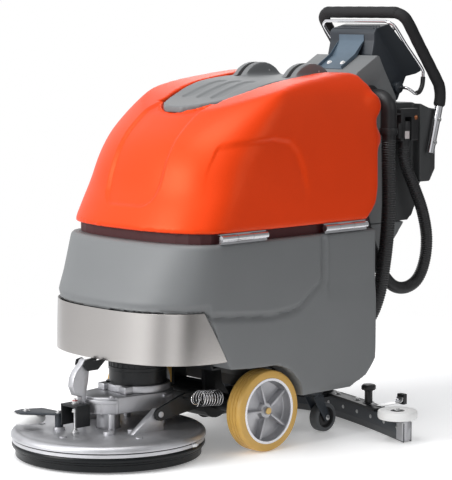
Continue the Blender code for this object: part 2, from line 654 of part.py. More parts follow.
# ---- the rear column, the handle and the controls ------------------------------------------------
def rear_column(machine):
    """The grey housing behind the tanks: a bent cover, open to the rear, that carries the console."""
    outline = [(0.445, TANK_TOP - 0.011 + GAP), (0.445, 0.900), (0.452, 0.907), (0.527, 0.949),
               (0.534, 0.947),
               (0.555, 0.910), (0.594, 0.849), (0.600, 0.838), (0.600, TANK_TOP - 0.011 + GAP)]
    shell = rounded(prism(outline, -COLUMN_HALF, COLUMN_HALF), 0.006, segments=1,
                    test=lambda a, b: min(a.z, b.z) > 0.83 and abs(a.x - b.x) < 0.01)
    wall = COLUMN_WALL
    hollow = [(0.445 + wall, 0.40), (0.445 + wall, 0.898), (0.527, 0.944), (0.552, 0.908), (0.594 - wall,
                                                                                            0.846),
              (0.596, 0.836), (0.596, 0.815), (0.70, 0.815), (0.70, 0.40)]
    inside = prism(hollow, -COLUMN_HALF + wall, COLUMN_HALF - wall)
    port_hole = rod((COLUMN_HALF - 0.03, PORT_Y, PORT_Z), (COLUMN_HALF + 0.03, PORT_Y, PORT_Z),
                    HOSE_R - 0.003, 16)
    machine.piece("rear_column", cut(shell, inside, port_hole), "grey_plastic")


def rear_shell(machine):
    """The rear cover with the dome, the pockets for the handle and the round bulge below."""
    base = TANK_TOP - 0.011 + GAP
    upper = [(0.600 + GAP, 0.560), (0.600 + GAP, 0.823), (0.665, 0.823), (0.702, 0.808),
             (SHELL_REAR - 0.010, 0.803), (SHELL_REAR - 0.004, 0.790), (SHELL_REAR, 0.669),
             (0.740, 0.645), (0.697, 0.605), (0.680, 0.560)]
    wings = [(0.665, 0.612), (0.665, 0.821), (0.702, 0.8075), *upper[4:8], (0.704, 0.612)]
    lower = [(0.600 + GAP, base), (0.600 + GAP, 0.600), (0.690, 0.600), (0.685, 0.560), (0.668, 0.525),
             (0.650, base)]
    cover = fused(prism(upper, -COLUMN_HALF, COLUMN_HALF), prism(wings, -SHELL_HALF, SHELL_HALF),
                  prism(lower, -COLUMN_HALF, COLUMN_HALF))
    wall = 0.004
    hollow = [(0.58, base - 0.02), (0.58, 0.800), (0.660, 0.800), (SHELL_REAR - 0.014, 0.785),
              (SHELL_REAR - 0.008, 0.672), (0.690, 0.612), (0.672, 0.560), (0.640, base + wall),
              (0.640, base - 0.02)]
    inside = prism(hollow, -COLUMN_HALF + wall, COLUMN_HALF - wall)
    corners = []
    for side in (-1, 1):
        corner = [(side * 0.112, SHELL_REAR + 0.001), (side * 0.15, SHELL_REAR + 0.001), (side * 0.15,
                                                                                          SHELL_REAR - 0.045),
                  (side * SHELL_HALF, SHELL_REAR - 0.045), (side * 0.130, SHELL_REAR - 0.018)]
        corners.append(prism(corner, 0.55, 0.85, "Z"))
    machine.piece("rear_shell", cut(cover, inside, *corners), "grey_plastic")


def vacuum_motor(machine):
    """The suction motor inside the column, on a plate that bears on the column's front wall."""
    y = 0.445 + COLUMN_WALL + 0.075
    can = turned([(0, 0.600), (0.060, 0.600), (0.060, 0.660), (0.048, 0.668), (0.048, 0.730), (0, 0.730)],
                 (0, y, 0), sides=20)
    plate = box((-0.085, 0.445 + COLUMN_WALL + GAP, 0.592), (0.085, y + 0.065, 0.602))
    foot = box((-0.085, 0.445 + COLUMN_WALL + GAP, TANK_TOP - 0.011 + GAP),
               (0.085, 0.445 + COLUMN_WALL + 0.010, 0.600))
    machine.piece("vacuum_motor", fused(can, plate, foot), "black_plastic")


def column_port(machine):
    """The smooth black elbow that takes the suction hose into the column."""
    path = [(COLUMN_HALF + GAP, PORT_Y, PORT_Z)]
    path += [(HOSE_X - 0.035 + dx, PORT_Y, PORT_Z - 0.035 + dz) for dx, dz in arc((0, 0), 0.035, 90, 0, 5)]
    path.append((HOSE_X, PORT_Y, HOSE_TOP + GAP))
    machine.piece("column_port", swept(path, HOSE_R + 0.002, 12, HOSE_R - 0.003), "black_plastic")


def hose_holder(machine):
    """The black clip box on the column's side that holds the drain hose's upper end."""
    x0 = COLUMN_HALF + GAP
    case = box((x0, 0.562, 0.712), (x0 + 0.040, 0.646, 0.809))
    bore = rod((DRAIN_TOP[0], DRAIN_TOP[1], 0.70), (DRAIN_TOP[0], DRAIN_TOP[1], 0.780), DRAIN_R + 0.0023,
               16)
    mouth = box((DRAIN_TOP[0], DRAIN_TOP[1] - 0.008, 0.70), (x0 + 0.06, DRAIN_TOP[1] + 0.008, 0.780))
    machine.piece("hose_holder", cut(rounded(case, 0.005, segments=1), bore, mouth), "black_plastic")
    cap = rod((DRAIN_TOP[0], DRAIN_TOP[1], DRAIN_TOP[2] + GAP), (DRAIN_TOP[0], DRAIN_TOP[1], 0.776),
              DRAIN_R + 0.002, 16)
    machine.piece("drain_cap", cap, "black_plastic")


def console(machine):
    """The dark control console with its sloping panel towards the operator."""
    outline = [(0.545, 1.008), (0.553, 1.018), (0.605, 1.030), (0.736, 0.912), (0.737, 0.905),
               (0.712, 0.896),
               (0.672, 0.890), (0.640, 0.828), (0.628, 0.826), (0.6035, 0.8395), (0.596, 0.8525),
               (0.5575, 0.912),
               (0.537, 0.949), (0.546, 0.985)]
    body = rounded(prism(outline, -CONSOLE_HALF, CONSOLE_HALF), 0.004, segments=1,
                   test=lambda a, b: abs(a.x - b.x) < 0.01 and min(a.z, b.z) > 0.88)
    knuckle = rod((-0.098, *BAIL_PIVOT), (0.098, *BAIL_PIVOT), 0.016, 16)
    bore = rod((-0.11, *BAIL_PIVOT), (0.11, *BAIL_PIVOT), BAIL_R + 0.0006, 12)
    tools = [("UNION", knuckle), ("DIFFERENCE", bore)]
    for name, place, radius, rise, sink in CONTROLS:
        low = panel_point(place, -0.008)
        tools.append(("DIFFERENCE", rod(low, panel_point(place, 0.02), radius + RUN * 0.6, 16)))
    machine.piece("console", combined(body, tools), "slate_plastic")


PANEL_START = Vector((0.605, 1.030))
PANEL_END = Vector((0.736, 0.912))
PANEL_WAY = (PANEL_END - PANEL_START).normalized()
PANEL_OUT = Vector((-PANEL_WAY.y, PANEL_WAY.x))

# name, (x, distance down the panel), radius, height over the panel, depth of its stem
CONTROLS = [
    ("key_switch", (0.050, 0.045), 0.011, 0.008, 0.006),
    ("water_knob", (-0.048, 0.050), 0.019, 0.016, 0.006),
    ("brush_button", (0.020, 0.125), 0.012, 0.005, 0.006),
    ("vacuum_button", (-0.020, 0.125), 0.012, 0.005, 0.006),
]


def panel_point(place, height):
    x, down = place
    flat = PANEL_START + PANEL_WAY * down + PANEL_OUT * height
    return Vector((x, flat.x, flat.y))


def controls(machine):
    """The key switch, the water knob and the two push buttons on the console's panel."""
    for name, place, radius, rise, sink in CONTROLS:
        machine.body(name, panel_point(place, 0.0))
        stem = rod(panel_point(place, -sink), panel_point(place, rise), radius, 16)
        parts = [stem]
        if name == "key_switch":
            out = Vector((0, PANEL_OUT.x, PANEL_OUT.y))
            way = Vector((0, PANEL_WAY.x, PANEL_WAY.y))
            grip = box((-0.0015, -0.008, 0.0), (0.0015, 0.008, 0.022))
            turn = Matrix((Vector((1, 0, 0)), way, out)).transposed().to_4x4()
            parts.append(moved(grip, Matrix.Translation(panel_point(place, rise - 0.001)) @ turn))
        if name == "water_knob":
            out = Vector((0, PANEL_OUT.x, PANEL_OUT.y))
            way = Vector((0, PANEL_WAY.x, PANEL_WAY.y))
            grip = box((-0.0035, -0.017, 0.0), (0.0035, 0.017, 0.006))
            turn = Matrix((Vector((1, 0, 0)), way, out)).transposed().to_4x4()
            parts.append(moved(grip, Matrix.Translation(panel_point(place, rise - 0.001)) @ turn))
        machine.piece(name, fused(*parts) if len(parts) > 1 else stem, "black_plastic", name)


def console_bracket(machine):
    """The bent sheet that ties the console's front to the column's sloping top."""
    out = Vector((-0.488, 0.873))
    foot = Vector((0.462, 0.9126)) + out * 0.0004
    bend = Vector((0.518, 0.9439)) + out * 0.0004
    points = [foot, bend, Vector((0.5457, 0.985)), Vector((0.5450, 1.0015))]
    thick = 0.0018
    other = [foot + out * thick, bend + out * thick + Vector((-0.0008, 0)), Vector((0.5437, 0.986)),
             Vector((0.5432, 1.0015))]
    outline = [tuple(p) for p in points + other[::-1]]
    machine.piece("console_bracket", prism(outline, -0.045, 0.045), "slate_paint")


def handle_path(cover):
    """The handle's centre line from the left end over the top to the right end, or only its gripped part."""
    side = [(0.692, 0.688), (0.726, 0.811)] if not cover else [(0.726, 0.811)]
    side += [(0.7305, 0.836), (0.727, 0.862), (0.714, 0.884), (0.643, 0.977), (0.600, 1.034)]
    left = [(HANDLE_X, y, z) for y, z in side]
    left += [(HANDLE_X - 0.008, 0.588, 1.0510), (HANDLE_X - 0.025, 0.582, 1.0585), (HANDLE_X - 0.048, 0.581,
                                                                                    1.0600)]
    right = [(-x, y, z) for x, y, z in left[::-1]]
    return left + right


def handle(machine):
    """The bent chrome tube and the foam grip over it."""
    machine.piece("handle_tube", swept(handle_path(False), HANDLE_R, 10), "chrome")
    grip = swept(handle_path(True), GRIP_R, 10, HANDLE_R + GAP * 2)
    machine.piece("handle_grip", grip, "black_foam")


def bail(machine):
    """The drive bail: a sprung rod inside the handle, pivoted in the console's knuckle."""
    y, z = BAIL_PIVOT
    side = [(0.086, y, z), (0.112, y, z), (0.124, y + 0.003, z - 0.002), (BAIL_X, y + 0.014, z - 0.009)]
    side += [(BAIL_X, 0.655, 0.8465), (BAIL_X, 0.672, 0.852), (BAIL_X, 0.682, 0.868), (BAIL_X, 0.685,
                                                                                       0.895),
             (BAIL_X, 0.678, 0.914), (BAIL_X, 0.618, 0.974), (BAIL_X, 0.576, 1.020)]
    side += [(BAIL_X - 0.006, 0.566, 1.0305), (BAIL_X - 0.020, 0.561, 1.036), (BAIL_X - 0.038, 0.560,
                                                                               1.037)]
    path = side + [(-x, py, pz) for x, py, pz in side[::-1]]
    machine.piece("bail", swept(path, BAIL_R, 8), "chrome", "bail")


# ---- drive wheels and casters --------------------------------------------------------------------
def drive_wheels(machine):
    """An aluminium hub with its half shaft and brass end, and a polyurethane tyre, on each side."""
    inner, outer = WHEEL_OUT - WHEEL_W, WHEEL_OUT
    web = (inner + 0.018, inner + 0.026)
    hub_profile = [(0, inner - 0.0055), (AXLE_R, inner - 0.0055), (AXLE_R, web[0]), (RIM_R - 0.008, web[0]),
                   (RIM_R - 0.006, inner + 0.002), (RIM_R, inner + 0.002), (RIM_R, outer - 0.002),
                   (RIM_R - 0.006, outer - 0.002), (RIM_R - 0.009, web[1]), (0.018, web[1]),
                   (0.017, outer - 0.010), (0.009, outer - 0.010), (0.009, outer - 0.004),
                   (0, outer - 0.004)]
    tyre_profile = [(RIM_R + GAP, inner + 0.001), (WHEEL_R - 0.006, inner), (WHEEL_R, inner + 0.006),
                    (WHEEL_R, outer - 0.006), (WHEEL_R - 0.006, outer), (RIM_R + GAP, outer - 0.001)]
    for side, name in ((1, "left"), (-1, "right")):
        body = "wheel_" + name
        machine.body(body, (side * (inner + outer) / 2, 0, WHEEL_R))
        hub = turned(hub_profile, (0, 0, WHEEL_R), "X", WHEEL_SIDES)
        ribs = []
        for i in range(5):
            rib = box((web[1] - 0.002, -0.002, 0.016), (outer - 0.008, 0.002, RIM_R - 0.004))
            turn = Matrix.Translation((0, 0, WHEEL_R)) @ Matrix.Rotation(math.tau * i / 5 + 0.3, 4, "X")
            ribs.append(moved(rib, turn))
        hub = fused(hub, *ribs)
        tyre = turned(tyre_profile, (0, 0, WHEEL_R), "X", WHEEL_SIDES)
        machine.piece("wheel_hub_" + name, hub if side > 0 else mirrored(hub), "cast_aluminium", body)
        machine.piece("tyre_" + name, tyre if side > 0 else mirrored(tyre), "amber_rubber", body)


def transaxle(machine):
    """The drive motor, its gear case and the axle tubes, hung from the frame by two saddles."""
    reach = WHEEL_OUT - WHEEL_W - 0.0055 - GAP
    tube = rod((-reach, 0, WHEEL_R), (reach, 0, WHEEL_R), 0.022, 16)
    case = rod((-0.060, 0, WHEEL_R), (0.060, 0, WHEEL_R), 0.044, 20)
    motor = rod((0, 0.010, 0.080), (0, 0.140, 0.080), 0.034, 20)
    top = WHEEL_R + ARCH_GAP + WHEEL_R - 0.005 - GAP * 4
    saddle = [(-0.032, WHEEL_R + 0.005), (0.016, WHEEL_R + 0.005), (0.002, top), (-0.004, top),
              (-0.032, top - 0.003)]
    saddles = [prism(saddle, x - 0.005, x + 0.005) for x in (-0.066, 0.066)]
    machine.piece("transaxle", fused(tube, case, motor, *saddles), "black_paint")


def casters(machine):
    """Two swivelling rear casters, each a pressed fork with its axle and a wheel."""
    top = TANK_LOW - 0.005 - 0.010 - GAP
    axle_y = CASTER_SWIVEL + CASTER_TRAIL
    for side, name in ((1, "left"), (-1, "right")):
        x = side * CASTER_X
        machine.body("caster_" + name, (x, CASTER_SWIVEL, top))
        machine.body("caster_roll_" + name, (x, axle_y, CASTER_R))
        disc = rod((x, CASTER_SWIVEL, top - 0.009), (x, CASTER_SWIVEL, top), 0.025, 20)
        bridge = box((x - 0.020, CASTER_SWIVEL - 0.016, top - 0.013), (x + 0.020, CASTER_SWIVEL + 0.022,
                                                                       top - 0.004))
        parts = [disc, bridge]
        cheek = [(CASTER_SWIVEL - 0.016, top - 0.006), (CASTER_SWIVEL + 0.022, top - 0.006)]
        cheek += arc((axle_y, CASTER_R), 0.010, 20, -150, 6)
        for edge in (-1, 1):
            start = x + edge * (CASTER_W / 2 + RUN)
            parts.append(prism(cheek, min(start, start + edge * 0.003), max(start, start + edge * 0.003)))
        reach = CASTER_W / 2 + 0.006
        parts.append(rod((x - reach, axle_y, CASTER_R), (x + reach, axle_y, CASTER_R), 0.004, 12))
        machine.piece("caster_fork_" + name, fused(*parts), "black_paint", "caster_" + name)
        half = CASTER_W / 2
        profile = [(0.0046, -half), (CASTER_R - 0.004, -half), (CASTER_R, -half + 0.004),
                   (CASTER_R, half - 0.004),
                   (CASTER_R - 0.004, half), (0.0046, half)]
        wheel = turned(profile, (x, axle_y, CASTER_R), "X", 24)
        machine.piece("caster_wheel_" + name, wheel, "grey_rubber", "caster_roll_" + name)


# ---- the scrubbing deck ----------------------------------------------------------------------------
def lift_arms(machine):
    """The two arms that raise the deck, joined by a cross bar, with the tension spring beside one."""
    pivot_y, pivot_z = ARM_PIVOT
    pin_y, pin_z = LUG_PIN
    eye = PIN_R + 0.009
    outline = arc((pin_y, pin_z), eye, 100, 270, 6) + [(pivot_y + 0.004, pivot_z - 0.013)]
    outline += arc((pivot_y, pivot_z), 0.013, -60, 90, 4) + [(-0.150, 0.148), (-0.172, 0.144)]
    parts = []
    for side in (-1, 1):
        parts.append(prism(outline, side * LUG_X - 0.004, side * LUG_X + 0.004))
    parts.append(rod((-LUG_X, -0.094, 0.138), (LUG_X, -0.094, 0.138), 0.007, 12))
    arms = fused(*parts)
    bores = [rod((-0.2, pivot_y, pivot_z), (0.2, pivot_y, pivot_z), 0.0066, 12),
             rod((-0.2, pin_y, pin_z), (0.2, pin_y, pin_z), PIN_R + 0.0006, 16)]
    hook = rod((LUG_X + 0.001, -0.164, 0.137), (SPRING_X + 0.003, -0.164, 0.137), 0.0025, 8)
    machine.piece("lift_arms", combined(arms, [("DIFFERENCE", b) for b in bores] + [("UNION", hook)]),
                  "black_paint", "lift_arms")
    start, end = Vector((SPRING_X, -0.1608, 0.1365)), Vector((SPRING_X, pivot_y - 0.0073, pivot_z - 0.0005))
    way = (end - start).normalized()
    coil = rod(start + way * 0.006, end - way * 0.004, 0.0105, 12)
    eyes = [rod(start - way * 0.0005, start + way * 0.010, 0.002, 8), rod(end - way * 0.010,
                                                                          end + way * 0.001, 0.002, 8)]
    machine.piece("tension_spring", fused(coil, *eyes), "spring_steel", "lift_arms")


def deck(machine):
    """The round cast cover over the brush, with the lugs that the arms pull on."""
    at = (0, DECK_Y, 0)
    top, under = DECK_TOP, DECK_TOP - DECK_T
    edge = DECK_R
    profile = [(0.030, top), (edge - 0.024, top), (edge - 0.010, top - 0.0015), (edge - 0.002, top - 0.006),
               (edge, top - 0.012), (edge, top - 0.016), (edge - 0.004, top - 0.016), (edge - 0.004,
                                                                                       top - 0.011),
               (edge - 0.012, under - 0.0015), (edge - 0.024, under), (0.030, under)]
    parts = [turned(profile, at, sides=40)]
    pin_y, pin_z = LUG_PIN
    for side in (-1, 1):
        foot = [(-0.320, top - 0.002), (-0.222, top - 0.002), (-0.226, pin_z)] + arc((pin_y, pin_z), 0.012,
                                                                                     0, 120, 4)
        low, high = sorted((side * (LUG_X - 0.022), side * (LUG_X - 0.004 - RUN)))
        parts.append(prism(foot, low, high))
        parts.append(rod((side * (LUG_X - 0.010), pin_y, pin_z), (side * (LUG_X + 0.006), pin_y, pin_z),
                         PIN_R, 16))
    for x, y in DECK_BOSSES:
        parts.append(rod((x, y, top - 0.002), (x, y, top + BOSS_H), 0.014, 12))
    machine.piece("deck_cover", fused(*parts), "cast_aluminium", "deck")
    ring = SKIRT_RING_R
    low_edge = top - 0.016 - GAP
    skirt = [(ring, low_edge), (ring, 0.038), (ring - 0.0035, 0.036), (ring - 0.0035, 0.021), (ring - 0.007,
                                                                                               0.019),
             (ring - 0.007, 0.004), (ring - 0.013, 0.004), (ring - 0.013, low_edge)]
    machine.piece("deck_skirt", turned(skirt, at, sides=40), "black_rubber", "deck")


def brush(machine):
    """The brush's back plate with its hub, and its bristles as one ring."""
    at = (0, DECK_Y, 0)
    plate_low = BRISTLE_H + GAP
    plate_top = plate_low + BRUSH_PLATE_T
    plate = [(0, plate_low), (BRUSH_R - 0.006, plate_low), (BRUSH_R - 0.008, plate_top), (0.024, plate_top),
             (0.022, DECK_TOP - DECK_T - 0.004 - GAP), (0, DECK_TOP - DECK_T - 0.004 - GAP)]
    machine.piece("brush_plate", turned(plate, at, sides=36), "black_plastic", "brush")
    bristles = [(0.100, 0.0), (BRUSH_R + 0.002, 0.0), (BRUSH_R - 0.003, BRISTLE_H), (0.104, BRISTLE_H)]
    machine.piece("brush_bristles", turned(bristles, at, sides=36), "bristle", "brush")


def brush_drive(machine):
    """The brush motor on its gearbox, which stands on the deck and turns the brush through it."""
    low, high = 0.108, 0.150
    rear = arc((0, MOTOR_Y), 0.086, 10, 170, 8)
    front = arc((0, DECK_Y), 0.065, 190, 350, 8)
    case = prism(rear + front, low, high, "Z")
    step = prism(arc((0, DECK_Y), 0.071, 200, 340, 8), low + 0.026, high - 0.006, "Z")
    spout = rod((0, DECK_Y, DECK_TOP - DECK_T - 0.004), (0, DECK_Y, low + 0.002), 0.0285, 20)
    feet = [rod((x, y, DECK_TOP + GAP), (x, y, low + 0.002), 0.009, 10)
            for x, y in ((-0.055, -0.335), (0.055, -0.335), (-0.065, -0.185), (0.065, -0.185))]
    machine.piece("gearbox", fused(case, step, spout, *feet), "cast_aluminium", "deck")
    motor = [(0, high + GAP), (MOTOR_R + 0.004, high + GAP), (MOTOR_R + 0.004, high + 0.010),
             (MOTOR_R, high + 0.010),
             (MOTOR_R, 0.288), (MOTOR_R - 0.008, 0.296), (0, 0.296)]
    machine.piece("brush_motor", turned(motor, (0, MOTOR_Y, 0), sides=24), "black_paint", "deck")


def front_suspension(machine):
    """The deck's front guide: a fork under the frame, the curved link with its yoke, and the adjuster rod."""
    x, y = 0.0, -0.402
    fork_top = SKIRT_TOP - 0.005 - GAP
    rear = MOTOR_Y - MOTOR_R - 0.010
    cheek = [(FRAME_FRONT + 0.002, fork_top), (rear, fork_top), (-0.300, 0.252),
             (-0.345, 0.214),
             (-0.376, 0.214), (-0.388, 0.228), (-0.384, 0.240), (-0.368, 0.243), (-0.360, 0.2365),
             (-0.338, 0.2365), (-0.330, 0.262)]
    bridge = box((-0.024, FRAME_FRONT + 0.004, fork_top - 0.006), (0.024, rear - 0.002, fork_top))
    sides = [prism(cheek, low, low + 0.004) for low in (-0.0175, 0.0135)]
    machine.piece("front_guide", fused(bridge, *sides), "black_paint")
    top = 0.136
    yoke = [(-0.030, 0.084), (-0.025, 0.084), (-0.025, top - 0.005), (0.025, top - 0.005), (0.025, 0.084),
            (0.030, 0.084), (0.030, top), (-0.030, top)]
    channel = prism(yoke, y - 0.020, y + 0.022, "Y")
    hole = rod((x, y, top - 0.02), (x, y, top + 0.02), 0.0050, 10)
    rest = box((-0.022, y + 0.0215, 0.090), (0.022, y + 0.0245, top))
    link = [(y + 0.014, top + 0.016), (y - 0.004, top + 0.021), (y - 0.014, 0.180), (y - 0.002, 0.215),
            (-0.386, 0.232), (-0.377, 0.243),
            (-0.366, 0.238), (-0.364, 0.226), (-0.368, 0.190), (-0.375, 0.160), (y + 0.0242, top),
            (y + 0.0242, top - 0.002), (y + 0.014, top - 0.002)]
    tools = [("UNION", rest), ("UNION", prism(link, -0.010, 0.010)), ("DIFFERENCE", hole)]
    machine.piece("front_link", combined(channel, tools), "cast_aluminium", "deck")
    parts = [rod((x, y, DECK_TOP + GAP), (x, y, top + 0.013), 0.0040, 10)]
    for z in (DECK_TOP + GAP, 0.117, top + GAP):
        parts.append(rod((x, y, z), (x, y, z + 0.0075), 0.0080, 6))
    machine.piece("adjuster_rod", fused(*parts), "chrome", "deck")


def deck_bumper(machine):
    """The dark corner plate on the deck with the white bumper roller under it."""
    x, y, z = DECK_ROLLER
    machine.body("deck_roller", DECK_ROLLER)
    top = z + ROLLER_T / 2 + RUN
    outline = [(x - 0.022, y - 0.020), (x + 0.010, y - 0.026), (x + 0.085, y + 0.032), (x + 0.085,
                                                                                        y + 0.058),
               (x - 0.004, y + 0.052), (x - 0.026, y + 0.006)]
    plate = prism(outline, top, top + 0.004, "Z")
    stud = rod((x, y, z - ROLLER_T / 2 - 0.003), (x, y, top + 0.002), 0.005, 12)
    boss_x, boss_y = DECK_BOSSES[0]
    foot = rod((boss_x, boss_y, DECK_TOP + BOSS_H + GAP), (boss_x, boss_y, top + 0.002), 0.010, 12)
    machine.piece("roller_plate", fused(plate, stud, foot), "slate_paint", "deck")
    machine.piece("deck_roller", bumper_wheel(DECK_ROLLER, 0.046), "white_plastic", "deck_roller")


def bumper_wheel(place, radius=ROLLER_R):
    """A horizontal guard roller: a ring with a crowned rim and a bore for its stud."""
    half = ROLLER_T / 2
    profile = [(0.0056, -half), (radius - 0.006, -half), (radius, -half + 0.005), (radius, half - 0.005),
               (radius - 0.006, half), (radius * 0.5, half), (radius * 0.48, half - 0.003),
               (0.0056, half - 0.003)]
    return turned(profile, place, "Z", 28)


# ---- the squeegee ------------------------------------------------------------------------------------
def squeegee_y(x):
    end_x, end_y = SQUEEGEE_END
    return SQUEEGEE_MID - (SQUEEGEE_MID - end_y) * (abs(x) / end_x) ** 1.3


def squeegee_strip(reach, front, rear, low, high, count=16):
    """A strip that follows the squeegee's curve between two heights and two offsets from its middle."""
    rings = []
    for i in range(count + 1):
        x = reach * (2 * i / count - 1)
        y = squeegee_y(x)
        rings.append([(x, y + front, low), (x, y + rear, low), (x, y + rear, high), (x, y + front, high)])
    return loft(rings)


def squeegee(machine):
    """The towed squeegee: a curved bar with two blades, hand knobs, guard rollers and a suction port."""
    pivot_y, pivot_z = SQUEEGEE_ARM_PIVOT
    machine.body("squeegee_arm", (0, pivot_y, pivot_z))
    machine.body("squeegee", (0, SQUEEGEE_SWING_Y, 0.060))
    bar_low, bar_high = SQUEEGEE_BAR_Z
    plate_top = bar_high + 0.006
    arm_line = [(pivot_y, pivot_z + 0.006), (pivot_y, pivot_z - 0.006), (0.340, plate_top + GAP),
                (0.414, plate_top + GAP), (0.414, plate_top + 0.006), (0.345, plate_top + 0.007)]
    arm = prism(arm_line, -0.030, 0.030)
    tube = rod((-0.040, pivot_y, pivot_z), (0.040, pivot_y, pivot_z), 0.0115, 16)
    bore = rod((-0.2, pivot_y, pivot_z), (0.2, pivot_y, pivot_z), 0.0066, 12)
    swing = SQUEEGEE_SWING_Y
    pin = rod((0, swing, bar_low + 0.012), (0, swing, plate_top + 0.004), 0.006, 12)
    machine.piece("squeegee_arm", combined(arm, [("UNION", tube), ("DIFFERENCE", bore), ("UNION", pin)]),
                  "black_paint", "squeegee_arm")

    end_x = SQUEEGEE_END[0]
    half = 0.0115
    bar = squeegee_strip(end_x, -half, half, bar_low, bar_high)
    plate = squeegee_strip(0.262, -0.022, 0.020, bar_high - 0.001, plate_top, 12)
    centre = box((-0.035, swing - 0.018, bar_high - 0.004), (0.035, SQUEEGEE_MID - 0.004, plate_top))
    tools = [("UNION", plate), ("UNION", centre)]
    for side in (-1, 1):
        x, y, z = side * SQUEEGEE_ROLLER[0], SQUEEGEE_ROLLER[1], SQUEEGEE_ROLLER[2]
        low, high = sorted((side * (SQUEEGEE_ROLLER[0] - 0.040), side * (SQUEEGEE_ROLLER[0] + 0.010)))
        tools.append(("UNION", box((low, y - 0.012, bar_high - 0.001), (high, y + 0.045,
                                                                        z - ROLLER_T / 2 - RUN))))
        tools.append(("UNION", rod((x, y, bar_high), (x, y, z + ROLLER_T / 2 + 0.004), 0.005, 12)))
        hook_x = side * 0.249
        low, high = hook_x - 0.012, hook_x + 0.012
        tools.append(("UNION", box((low, squeegee_y(hook_x) + 0.010, bar_high), (high, 0.478,
                                                                                 bar_high + 0.005))))
        tools.append(("UNION", box((low, 0.470, bar_high), (high, 0.488, bar_high + 0.028))))
    tools.append(("DIFFERENCE", rod((0, swing, 0.0), (0, swing, 0.1), 0.0066, 12)))
    tools.append(("DIFFERENCE", rod((0, PORT_LOW_Y, 0.0), (0, PORT_LOW_Y, 0.1), 0.0135, 16)))
    machine.piece("squeegee_bar", combined(bar, tools), "black_paint", "squeegee")
    front = squeegee_strip(end_x + 0.006, -half - GAP - BLADE_T, -half - GAP, 0.0, bar_high - 0.004)
    rear = squeegee_strip(end_x + 0.006, half + GAP, half + GAP + BLADE_T, 0.0, bar_high - 0.004)
    machine.piece("squeegee_blade_front", front, "grey_rubber", "squeegee")
    machine.piece("squeegee_blade_rear", rear, "grey_rubber", "squeegee")
    port = turned([(0.013, plate_top + GAP), (0.024, plate_top + GAP), (0.024, plate_top + 0.006),
                   (HOSE_R, plate_top + 0.012), (HOSE_R, PORT_LOW_Z - GAP), (0.013, PORT_LOW_Z - GAP)],
                  (0, PORT_LOW_Y, 0), sides=20)
    machine.piece("squeegee_port", port, "black_plastic", "squeegee")
    for side, name in ((1, "left"), (-1, "right")):
        place = (side * KNOB_AT[0], KNOB_AT[1], plate_top + GAP)
        machine.body("squeegee_knob_" + name, place)
        knob = turned([(0, 0), (0.011, 0), (0.011, 0.032), (0.019, 0.036), (0.019, 0.046), (0.016, 0.049),
                       (0, 0.049)],
                      place, sides=20)
        machine.piece("squeegee_knob_" + name, knob, "black_plastic", "squeegee_knob_" + name)
        place = (side * SQUEEGEE_ROLLER[0], SQUEEGEE_ROLLER[1], SQUEEGEE_ROLLER[2])
        machine.body("squeegee_roller_" + name, place)
        machine.piece("squeegee_roller_" + name, bumper_wheel(place), "white_plastic",
                      "squeegee_roller_" + name)


# ---- hoses -------------------------------------------------------------------------------------------
SUCTION_ROUTE = [
    (0.176, 0.500, 0.745), (0.176, 0.500, 0.700), (0.176, 0.502, 0.640), (0.176, 0.503, 0.560),
    (0.175, 0.498, 0.475), (0.172, 0.489, 0.400), (0.164, 0.480, 0.330), (0.142, 0.471, 0.270),
    (0.104, 0.462, 0.231), (0.060, 0.455, 0.202), (0.022, 0.450, 0.176), (0.001, 0.448, 0.147),
    (0.000, 0.448, 0.123), (0.000, 0.448, 0.101),
]
DRAIN_ROUTE = [
    (0.134, 0.604, 0.722), (0.134, 0.604, 0.702), (0.1345, 0.606, 0.680), (0.139, 0.616, 0.645),
    (0.146, 0.636, 0.598), (0.150, 0.664, 0.535), (0.150, 0.682, 0.465), (0.148, 0.677, 0.400),
    (0.145, 0.652, 0.353),
    (0.140, 0.612, 0.334), (0.136, 0.566, 0.343), (0.134, 0.524, 0.383), (0.133, 0.490, 0.440),
    (0.132, 0.462, 0.505), (0.132, 0.443, 0.565), (0.132, 0.432, 0.612), (0.132, 0.418, 0.641),
    (0.132, 0.400, 0.650),
    (0.132, 0.390, 0.650), (0.132, 0.3806, 0.650),
]


def hose(machine, name, route, radius):
    """A ribbed hose as a plain round tube along a smooth curve through its route."""
    path = smooth_path(route, 2)
    line = bpy.data.curves.new(name, "CURVE")
    line.dimensions = "3D"
    line.bevel_depth = radius
    line.bevel_resolution = 2
    line.use_fill_caps = True
    spline = line.splines.new("POLY")
    spline.points.add(len(path) - 1)
    for point, place in zip(spline.points, path):
        point.co = (*place, 1.0)
    line.materials.append(bpy.data.materials["black_plastic"])
    obj = bpy.data.objects.new(name, line)
    obj.parent = machine.root
    bpy.context.scene.collection.objects.link(obj)


def main():
    clear_scene()
    make_materials()
    machine = Machine()
    machine.body("recovery_tank", (BODY_HALF - 0.002, 0, TIP_AXIS_Z))
    machine.body("lid", (0, *LID_HINGE))
    machine.body("bail", (0, *BAIL_PIVOT))
    machine.body("lift_arms", (0, *ARM_PIVOT))
    machine.body("deck", (0, *LUG_PIN))
    machine.body("brush", (0, DECK_Y, BRISTLE_H))
    for build in (solution_tank, chassis_frame, front_skirt, batteries, tank_seal, tip_hinges,
                  recovery_tank, lid,
                  rear_column, rear_shell, vacuum_motor, column_port, hose_holder, console, controls,
                  console_bracket, handle, bail, drive_wheels, transaxle, casters, lift_arms, deck, brush,
                  brush_drive, front_suspension, deck_bumper, squeegee):
        build(machine)
    hose(machine, "suction_hose", SUCTION_ROUTE, HOSE_R)
    hose(machine, "drain_hose", DRAIN_ROUTE, DRAIN_R)


if __name__ == "__main__":
    main()
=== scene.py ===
"""The finish of a walk-behind floor scrubber: its moulded tanks, metal parts, hoses, wheels and stage."""

import json
import math

